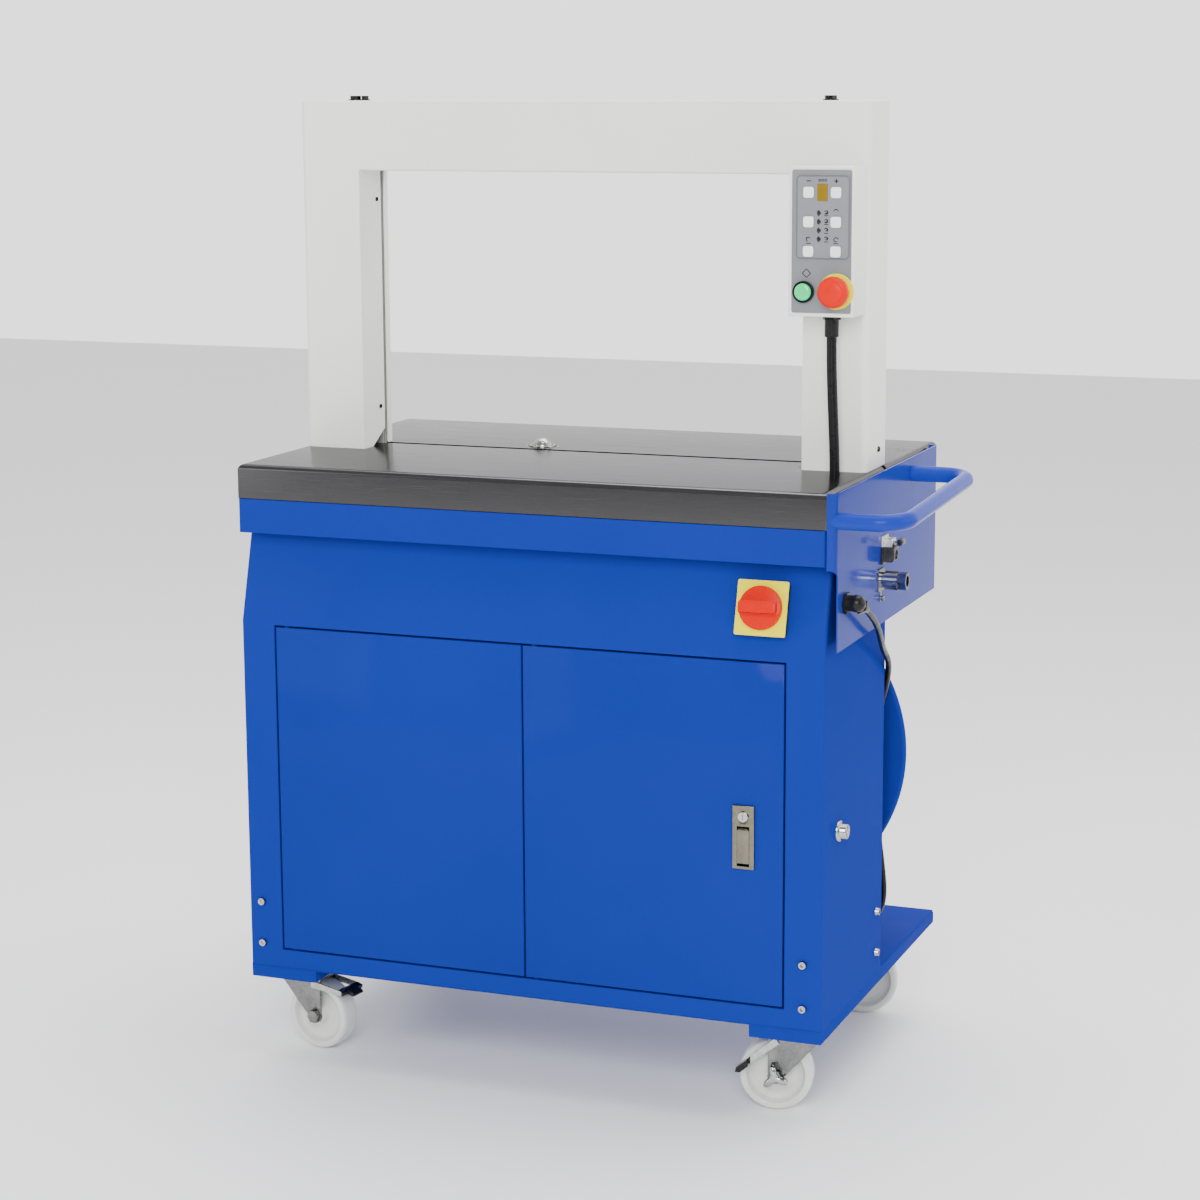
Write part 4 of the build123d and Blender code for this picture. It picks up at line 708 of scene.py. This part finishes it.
class STRAPPING_OT_cabinet(StrappingOperator):
    """Paints the cabinet, base, housing, bracket plate and push handle"""

    bl_idname = "strapping.cabinet"
    bl_label = "Cabinet"

    def execute(self, context):
        dress("blue", "base_rails", "base_plate", "rear_panel", edge=0.0006)
        dress("blue", "cabinet_shell", "upper_housing")
        dress("side", "bracket_plate")
        dress("handle_painted_light", "push_handle")
        dress("door", "left_door", "right_door", edge=0.0008)
        return {"FINISHED"}


class STRAPPING_OT_table(StrappingOperator):
    """Brushes the stainless table plates and polishes the ball switch"""

    bl_idname = "strapping.table"
    bl_label = "Table"

    def execute(self, context):
        dress("table", "table_front", "table_rear")
        dress("chrome", "ball_seat", "ball_switch")
        return {"FINISHED"}


class STRAPPING_OT_arch(StrappingOperator):
    """Paints the arch covers and gives the strap track between them a darker grey, partly its own grey and
    partly painted shade of the channel
    """

    bl_idname = "strapping.arch"
    bl_label = "Arch"

    def execute(self, context):
        dress("arch", "arch_front_cover", "arch_rear_cover")
        # darker grey in the channel: partly painted shade
        dress("track", "strap_track")
        return {"FINISHED"}


KEY_XS = (351.0, 388.0)
KEY_ZS = (1227.0, 1189.0, 1151.0)
LAMP_ZS = (1200.5, 1189.3, 1178.1, 1166.9)
PAD_FACE = 137.3
PLATE_FACE = 138.5
PRINT_FOOT, PRINT_TOP = 0.02, -0.07
THIN_LINE, THICK_LINE = 1.1, 1.4
SIGN_Z, DOME_Z, TURN_Z = 1241.6, 1202.6, 1166.5
DOT_XS, DOT_Z = (365.6, 369.8, 373.8), 1242.6
MOON_X, RING_X = 365.6, 374.9
DIAMOND_CENTRE = (348.4, 1122.6)


def placed(shape):
    """A shape in machine millimetres as one in the frame's metres."""
    points, faces = shape
    offset = np.array((ARCH_X, FRONT_Y, 0.0))
    return (points + offset) * MM, faces


class STRAPPING_OT_control_box(StrappingOperator):
    """Finishes the control box and adds its key caps, keypad rim and plain printed marks"""

    bl_idname = "strapping.control_box"
    bl_label = "Control box"

    def execute(self, context):
        dress("arch", "control_box", edge=0.0004)
        dress("panel", "control_plate")
        dress("pad", "keypad_membrane")
        dress("amber", "display_window", edge=0.0003)
        dress("lamp", "status_lamps")
        dress("black", "control_gland")
        dress("sheath", "control_cable")
        self.keys()
        self.rim()
        self.marks()
        return {"FINISHED"}

    def keys(self):
        """Six white caps that lie over the membrane's embossed keys."""
        half, height, lift = 7.1, 1.1, 0.9
        caps = [pillow((x, PAD_FACE - lift, z), half, half, height) for x in KEY_XS for z in KEY_ZS]
        points, faces = placed(joined(caps))
        mesh_piece("key_caps", points, faces, finishes()["key"].material, "machine")

    def rim(self):
        """A darker raised line round the keypad: one rounded rectangle carried round as a
        half-round bead, height * sin(t) over width * cos(t)."""
        middle_x, middle_z, half_x, half_z, corner = 370.25, 1195.0, 35.2, 53.0, 5.0
        corners = ((1, 1, 0), (-1, 1, 90), (-1, -1, 180), (1, -1, 270))
        spots, outward = [], []
        for way_x, way_z, start in corners:
            angle = np.radians(np.linspace(start, start + 90, 8))
            normal = np.stack((np.cos(angle), np.sin(angle)), axis=1)
            reach = np.array((way_x * (half_x - corner), way_z * (half_z - corner)))
            centre = np.array((middle_x, middle_z)) + reach
            spots.append(centre + corner * normal)
            outward.append(normal)
        spots, outward = np.vstack(spots), np.vstack(outward)
        t = np.linspace(0, math.pi, 7)
        half_bead, bead_height, sunk = 0.9, 0.55, 0.05
        across, rise = half_bead * np.cos(t), bead_height * np.sin(t)
        plan = spots[:, None, :] + outward[:, None, :] * across[None, :, None]
        depth = np.repeat((PAD_FACE + sunk - rise)[None, :], len(spots), axis=0)
        points = np.stack((plan[:, :, 0], depth, plan[:, :, 1]), axis=2).reshape(-1, 3)
        count, width = len(spots), len(t)
        here = np.arange(count)[:, None] * width + np.arange(width)[None, :]
        there = np.roll(here, -1, axis=0)
        here_next, there_next = np.roll(here, -1, axis=1), np.roll(there, -1, axis=1)
        faces = np.stack((here, there, there_next, here_next), axis=2).reshape(-1, 4)
        points, faces = placed((points, faces))
        mesh_piece("keypad_rim", points, faces, finishes()["rim"].material, "machine")

    def marks(self):
        """Plain printed marks by the keys and lamps: strokes, rings, arrow heads and a diamond."""
        outlines = self.key_marks() + self.lamp_marks()
        for x in DOT_XS:
            outlines += ring_strokes((x, DOT_Z), 1.5, 1.0, steps=8)
        raised = [
            flat_shape(outline, PAD_FACE + PRINT_FOOT, PAD_FACE + PRINT_TOP) for outline in outlines
        ]
        x, z = DIAMOND_CENTRE
        half = 5.6
        diamond = ((x, z + half), (x + half, z), (x, z - half), (x - half, z))
        for pair in zip(diamond, diamond[1:] + diamond[:1]):
            side = stroke(pair, THIN_LINE)
            raised.append(flat_shape(side, PLATE_FACE + PRINT_FOOT, PLATE_FACE + PRINT_TOP))
        points, faces = placed(joined(raised))
        ink = finishes()["ink"].material
        mesh_piece("panel_marks", points, faces, ink, "machine", smooth=False)

    def key_marks(self):
        """Minus and plus over the top keys, a dome over the right middle key, and over each of the
        bottom keys a turning arrow on a bar."""
        outlines = []
        for x, way in zip(KEY_XS, (-1, 1)):
            outlines.append(bar(x, SIGN_Z, 2.9, THICK_LINE))
            if way > 0:
                outlines.append(stroke(((x, SIGN_Z - 2.8), (x, SIGN_Z + 2.8)), THICK_LINE))
            arc_start, arc_stop = (30, 250) if way < 0 else (60, 300)
            outlines += ring_strokes((x, TURN_Z), 2.8, 1.2, arc_start, arc_stop, 10)
            arrow = ((3.4, 3.3), (1.0, 1.7), (3.2, -0.1))
            outlines.append(np.array([(x + way * out, TURN_Z + up) for out, up in arrow]))
            outlines.append(bar(x, TURN_Z - 5.1, 3.2, THIN_LINE))
        return outlines + ring_strokes((KEY_XS[1], DOME_Z), 3.0, THIN_LINE, 10, 170, 8)

    def lamp_marks(self):
        """A half moon to the left of each lamp; to its right an open ring with a hand, on a bar."""
        outlines = []
        half_turn = np.radians(np.linspace(90, 270, 13))
        for index, z in enumerate(LAMP_ZS):
            moon_x = MOON_X + 3.4 * np.cos(half_turn)
            outlines.append(np.stack((moon_x, z + 3.9 * np.sin(half_turn)), axis=1))
            outlines.append(stroke(((RING_X - 0.9, z - 1.2), (RING_X + 1.5, z + 1.6)), THIN_LINE))
            ring_start, ring_stop = (200, 520) if index < 2 else (-60, 170)
            outlines += ring_strokes((RING_X, z + 0.8), 2.3, 1.3, ring_start, ring_stop, 10)
            outlines.append(bar(RING_X - 0.1, z - 3.4, 2.8, THIN_LINE))
        return outlines


STOP_CENTRE = (389.4, 1099.6)
STOP_PROFILE = (
    (0.0, -25.5),
    (8.0, -25.5),
    (8.0, 8.5),
    (13.6, 8.6),
    (14.0, 12.0),
    (18.6, 12.0),
    (20.2, 12.6),
    (20.5, 14.0),
    (20.5, 18.6),
    (20.0, 21.0),
    (18.6, 22.9),
    (16.2, 24.2),
    (15.4, 24.35),
    (14.9, 24.1),
    (13.0, 24.6),
    (9.0, 25.4),
    (4.5, 25.9),
    (0.0, 26.0),
)
START_CENTRE = (345.2, 1098.5)
START_PROFILE = (
    (0.0, -27.7),
    (8.0, -27.7),
    (8.0, 4.8),
    (11.1, 4.8),
    (11.1, 7.2),
    (10.6, 8.4),
    (9.4, 9.1),
    (6.0, 9.7),
    (0.0, 9.8),
)


class STRAPPING_OT_buttons(StrappingOperator):
    """Makes the start lens and the mushroom stop button, and finishes their collars"""

    bl_idname = "strapping.buttons"
    bl_label = "Buttons"

    def execute(self, context):
        dress("bezel", "start_bezel")
        dress("yellow", "stop_collar")
        points, faces = self.button(STOP_CENTRE, STOP_PROFILE)
        red = finishes()["red"].material
        mesh_piece("stop_head", points, faces, red, "stop_push", ("stop_button",))
        points, faces = self.button(START_CENTRE, START_PROFILE)
        green = finishes()["green"].material
        mesh_piece(
            "start_lens", points, faces, green, "start_push", ("start_button",)
        )
        return {"FINISHED"}

    def button(self, centre, profile):
        """A profile in millimetres, its heights measured from the control plate's face, turned
        about an axis that points to the front."""
        profile = [(radius * MM, (height - PLATE_FACE) * MM) for radius, height in profile]
        return turned(profile, at(centre[0], 0.0, centre[1]), (0.0, -1.0, 0.0), 72)


class STRAPPING_OT_main_switch(StrappingOperator):
    """Finishes the main switch on the sloping fascia"""

    bl_idname = "strapping.main_switch"
    bl_label = "Main switch"

    def execute(self, context):
        dress("black", "switch_body")
        dress("yellow", "switch_plate")
        dress("knob", "switch_knob", edge=0.0009)
        return {"FINISHED"}


class STRAPPING_OT_locks(StrappingOperator):
    """Finishes the door lock and the round lock on the right side"""

    bl_idname = "strapping.locks"
    bl_label = "Locks"

    def execute(self, context):
        dress("lock", "lock_housing", "lock_lever", edge=0.0003)
        dress("chrome", "lock_button")
        barrel = (
            (0.0, 414.0),
            (14.5, 414.0),
            (14.5, 421.6),
            (13.6, 422.4),
            (11.2, 422.6),
            (10.4, 423.6),
            (10.4, 430.6),
            (9.4, 432.0),
            (7.6, 432.3),
            (6.9, 431.2),
            (2.4, 431.0),
            (2.0, 429.6),
            (0.0, 429.6),
        )
        profile = [(radius * MM, height * MM) for radius, height in barrel]
        points, faces = turned(profile, at(0.0, 73.0, 396.0), (1.0, 0.0, 0.0), 64)
        chrome = finishes()["chrome"].material
        mesh_piece("side_lock_barrel", points, faces, chrome, "machine", ("side_lock",))
        return {"FINISHED"}


class STRAPPING_OT_connectors(StrappingOperator):
    """Finishes the two connectors on the bracket plate"""

    bl_idname = "strapping.connectors"
    bl_label = "Connectors"

    def execute(self, context):
        low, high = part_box("pedal_socket")
        past, metal_foot, black_end = 0.01, 0.024, 0.008
        mixed = moulded("socket black and metal", (0.012, 0.012, 0.013), 0.3)
        mask = mixed.zone(
            (low.x - past, low.y - past, low.z + metal_foot),
            (high.x - black_end, high.y + past, high.z + past),
        )
        mixed.paint_zone(mask, (0.62, 0.62, 0.6))
        mixed.link(mask, mixed.shader.inputs["Metallic"])
        FINISHES["socket"] = mixed
        dress("socket", "pedal_socket", edge=0.0004)
        dress("chrome", "round_connector")
        return {"FINISHED"}


class STRAPPING_OT_castors(StrappingOperator):
    """Turns the castor wheels and ball races, and finishes forks, plates and pedals"""

    bl_idname = "strapping.castors"
    bl_label = "Castors"

    def execute(self, context):
        sizes = context.scene.strapping_wheel
        dress("zinc", "castor_plates")
        for name in CASTORS:
            dress("zinc", f"{name}_fork", edge=0.0005)
            self.wheel(name, sizes)
            self.race(name)
        for name in CASTORS[:2]:
            self.pedal(name)
        self.clamp()
        return {"FINISHED"}

    def clamp(self):
        """Three-winged clamp nut on the right front axle: each section is a lobed ring,
        radius = (core + wing * cos(1.5 a + 0.5)^4) * size, at a height along the axle."""
        joint = JOINTS["front_right_wheel_roll"]
        side, up, forward = axes_about(joint["axis"])
        if forward[1] > 0:
            side, forward = -side, -forward
        steps = 72
        angle = np.arange(steps) * (2 * math.pi / steps)
        core, wing = 0.0065, 0.0120
        outline = core + wing * np.cos(1.5 * angle + 0.5) ** 4
        sections = (
            (0.0210, 0.55),
            (0.0216, 0.8),
            (0.0240, 1.0),
            (0.0300, 1.0),
            (0.0322, 0.8),
            (0.0330, 0.45),
        )
        rings = []
        for height, size in sections:
            radius = outline * size
            ring = np.outer(radius * np.cos(angle), side) + np.outer(radius * np.sin(angle), up)
            rings.append(np.array(joint["pos_m"]) + forward * height + ring)
        points = np.vstack(rings)
        around = np.arange(steps)
        after = (around + 1) % steps
        rows = (np.arange(len(sections) - 1) * steps)[:, None]
        low, low_next = (rows + around).ravel(), (rows + after).ravel()
        faces = np.stack((low, low_next, low_next + steps, low + steps), axis=1).tolist()
        faces += [around[::-1].tolist(), (around + (len(sections) - 1) * steps).tolist()]
        chrome = finishes()["chrome"].material
        mesh_piece("axle_clamp", points, faces, chrome, "front_right_swivel")

    def wheel(self, name, sizes):
        """Crowned tread, stepped rim, dished web and hub boss as one closed turned profile."""
        joint = JOINTS[f"{name}_wheel_roll"]
        radius, half, web = sizes.radius, sizes.half_width, sizes.web
        side = (
            (0.00610, half + 0.0008),
            (0.0095, half + 0.0008),
            (0.0125, half - 0.0002),
            (0.0140, web + 0.0015),
            (0.0160, web),
            (0.0300, web - 0.0020),
            (0.0365, web + 0.0010),
            (0.0392, half - 0.0030),
            (0.0400, half - 0.0004),
            (0.0412, half),
            (radius - 0.0042, half),
            (radius - 0.0018, half - 0.0012),
            (radius - 0.0003, half - 0.0045),
            (radius, half * 0.35),
        )
        other_side = [(reach, -height) for reach, height in side]
        profile = rounded(other_side + list(reversed(side)), 0.0012)
        points, faces = turned(profile, joint["pos_m"], joint["axis"], 112)
        nylon, roll = finishes()["nylon"].material, f"{name}_roll"
        mesh_piece(f"{name}_tyre", points, faces, nylon, roll, (f"{name}_wheel",))

    def race(self, name):
        """The ball race: a ring with a waist, (radius, height) turned about the swivel."""
        joint = JOINTS[f"{name}_swivel_turn"]
        x, y, _ = joint["pos_m"]
        profile = (
            (0.0235, 0.1170),
            (0.0300, 0.1170),
            (0.0305, 0.1184),
            (0.0290, 0.1190),
            (0.0305, 0.1196),
            (0.0295, 0.12005),
            (0.0235, 0.12005),
        )
        points, faces = turned(rounded(profile, 0.0003, 3), (x, y, 0.0), (0.0, 0.0, 1.0), 72)
        zinc = finishes()["zinc"].material
        mesh_piece(f"{name}_race", points, faces, zinc, f"{name}_swivel")

    def pedal(self, name):
        """Zinc arms with a black grip at the outer end."""
        low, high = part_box(f"{name}_pedal")
        grip_length = 0.020
        finish = plated(f"{name} pedal", (0.42, 0.42, 0.42))
        if name == "front_left":
            mask = finish.zone((high.x - grip_length, -FAR, -FAR), (FAR, FAR, FAR))
        else:
            mask = finish.zone((-FAR, -FAR, -FAR), (low.x + grip_length, FAR, FAR))
        finish.paint_zone(mask, (0.008, 0.008, 0.009))
        flip = finish.node("ShaderNodeMath", operation="SUBTRACT")
        flip.inputs[0].default_value = 1.0
        finish.link(mask, flip.inputs[1])
        finish.link(flip.outputs["Value"], finish.shader.inputs["Metallic"])
        FINISHES[f"{name} pedal"] = finish
        dress(f"{name} pedal", f"{name}_pedal", edge=0.0005)


class STRAPPING_OT_reel(StrappingOperator):
    """Finishes the strap reel and its stand"""

    bl_idname = "strapping.reel"
    bl_label = "Strap reel"

    def execute(self, context):
        dress("reel zinc", "reel_stand", "reel_hub")
        dress("blue", "reel_inner_flange", "reel_outer_flange")
        return {"FINISHED"}


class STRAPPING_OT_sealing_unit(StrappingOperator):
    """Finishes the sealing head, cam shaft and motor under the table"""

    bl_idname = "strapping.sealing_unit"
    bl_label = "Sealing unit"

    def execute(self, context):
        dress("reel zinc", "sealing_head", "cam_shaft")
        dress("motor", "drive_motor")
        return {"FINISHED"}


class STRAPPING_OT_screws(StrappingOperator):
    """Finishes the screws and bolts"""

    bl_idname = "strapping.screws"
    bl_label = "Screws"

    def execute(self, context):
        finish = plated("screws", (0.4, 0.4, 0.39), 0.22, 0.5)
        arch_foot = at(0, 0, 868).z
        mask = finish.zone((-FAR, -FAR, arch_foot), (FAR, FAR, FAR), 0.001)
        finish.paint_zone(mask, (0.03, 0.03, 0.028))
        FINISHES["screws"] = finish
        dress("screws", "frame_screws")
        return {"FINISHED"}


STUDIO_LIGHTS = (
    ("key", (1300, -4000, 2500), (0, 0, 700), 2.2),
    ("fill", (-3000, -2600, 1500), (0, 0, 600), 2.4),
    ("side", (3400, 300, 1600), (300, 200, 600), 1.8),
    ("top", (300, 600, 3600), (0, 200, 800), 3.0),
)
ROOM_STRENGTH = 2.3
DIM_SIDE, PALE_SIDE = (0.42, (0.24, 0.24, 0.245, 1.0)), (0.72, (0.9, 0.9, 0.9, 1.0))


class STRAPPING_OT_stage(StrappingOperator):
    """Lays a flat pale floor, and sets the room's light and four soft lights"""

    bl_idname = "strapping.stage"
    bl_label = "Stage"

    def execute(self, context):
        self.floor()
        self.world(context)
        studio = context.scene.strapping_studio
        for name, place, target, size in STUDIO_LIGHTS:
            self.light(name, at(*place), at(*target), size, getattr(studio, f"{name}_power"))
        return {"FINISHED"}

    def floor(self):
        """A flat floor: a grid with the same count of points each way."""
        finish = Finish("studio floor", (0.93, 0.93, 0.93), 0.6)
        finish.tint(finish.noise(2.0), (0.95, 0.95, 0.95), 0.5)
        half_width, half_depth, count = 14.0, 9.0, 40
        x = np.linspace(-half_width, half_width, count)
        y = np.linspace(-half_depth, half_depth, count)
        grid_x, grid_y = np.meshgrid(x, y)
        points = np.stack((grid_x, grid_y, np.zeros_like(grid_x)), axis=2).reshape(-1, 3)
        squares = np.arange(count - 1)
        here = (squares[:, None] * count + squares[None, :]).ravel()
        faces = np.stack((here, here + 1, here + count + 1, here + count), axis=1)
        mesh = bpy.data.meshes.new("floor")
        mesh.from_pydata(points.tolist(), [], faces.tolist())
        floor = bpy.data.objects.new("floor", mesh)
        bpy.context.scene.collection.objects.link(floor)
        mesh.materials.append(finish.material)

    def world(self, context):
        """A room that is dim towards -y, so that gloss paint keeps its colour, and pale towards +y."""
        world = bpy.data.worlds.new("studio")
        context.scene.world = world
        world.use_nodes = True
        tree = world.node_tree
        place = tree.nodes.new("ShaderNodeTexCoord")
        split = tree.nodes.new("ShaderNodeSeparateXYZ")
        ramp = tree.nodes.new("ShaderNodeValToRGB")
        shift = tree.nodes.new("ShaderNodeMath")
        shift.operation = "MULTIPLY_ADD"
        shift.inputs[1].default_value = 0.5
        shift.inputs[2].default_value = 0.5
        for element, (position, colour) in zip(ramp.color_ramp.elements, (DIM_SIDE, PALE_SIDE)):
            element.position = position
            element.color = colour
        tree.links.new(place.outputs["Generated"], split.inputs["Vector"])
        tree.links.new(split.outputs["Y"], shift.inputs[0])
        tree.links.new(shift.outputs["Value"], ramp.inputs["Fac"])
        background = tree.nodes["Background"]
        tree.links.new(ramp.outputs["Color"], background.inputs["Color"])
        background.inputs["Strength"].default_value = ROOM_STRENGTH

    def light(self, name, place, target, size, power):
        """A square soft light that faces a point of the machine."""
        data = bpy.data.lights.new(name, "AREA")
        data.shape = "SQUARE"
        data.size = size
        data.energy = power
        light = bpy.data.objects.new(name, data)
        bpy.context.scene.collection.objects.link(light)
        light.location = place
        light.rotation_mode = "QUATERNION"
        light.rotation_quaternion = (target - place).to_track_quat("-Z", "Y")


class STRAPPING_PT_pieces(Panel):
    """The machine's pieces, with the sizes and colours that can be changed"""

    bl_label = "Strapping machine"
    bl_idname = "STRAPPING_PT_pieces"
    bl_space_type = "VIEW_3D"
    bl_region_type = "UI"
    bl_category = "Strapping"

    def draw(self, context):
        scene = context.scene
        for name in GROUPS:
            group = getattr(scene, name)
            box = self.layout.box()
            for key in group.__annotations__:
                box.prop(group, key)
        for operator in OPERATORS:
            self.layout.operator(operator.bl_idname)


OPERATORS = (
    STRAPPING_OT_camera,
    STRAPPING_OT_mains_lead,
    STRAPPING_OT_cabinet,
    STRAPPING_OT_table,
    STRAPPING_OT_arch,
    STRAPPING_OT_control_box,
    STRAPPING_OT_buttons,
    STRAPPING_OT_main_switch,
    STRAPPING_OT_locks,
    STRAPPING_OT_connectors,
    STRAPPING_OT_castors,
    STRAPPING_OT_reel,
    STRAPPING_OT_sealing_unit,
    STRAPPING_OT_screws,
    STRAPPING_OT_stage,
)
GROUPS = {
    "strapping_colours": MachineColours,
    "strapping_lead": LeadSizes,
    "strapping_wheel": WheelSizes,
    "strapping_studio": StudioSizes,
}


def register():
    for group in GROUPS.values():
        bpy.utils.register_class(group)
    for operator in OPERATORS:
        bpy.utils.register_class(operator)
    bpy.utils.register_class(STRAPPING_PT_pieces)
    for name, group in GROUPS.items():
        setattr(bpy.types.Scene, name, PointerProperty(type=group))


def unregister():
    for name in GROUPS:
        delattr(bpy.types.Scene, name)
    bpy.utils.unregister_class(STRAPPING_PT_pieces)
    for operator in reversed(OPERATORS):
        bpy.utils.unregister_class(operator)
    for group in reversed(tuple(GROUPS.values())):
        bpy.utils.unregister_class(group)


def main():
    register()
    for operator in OPERATORS:
        space, name = operator.bl_idname.split(".")
        if getattr(getattr(bpy.ops, space), name)() != {"FINISHED"}:
            raise RuntimeError(f"{operator.bl_label} could not be finished")
    bpy.context.view_layer.update()


if __name__ == "__main__":
    main()
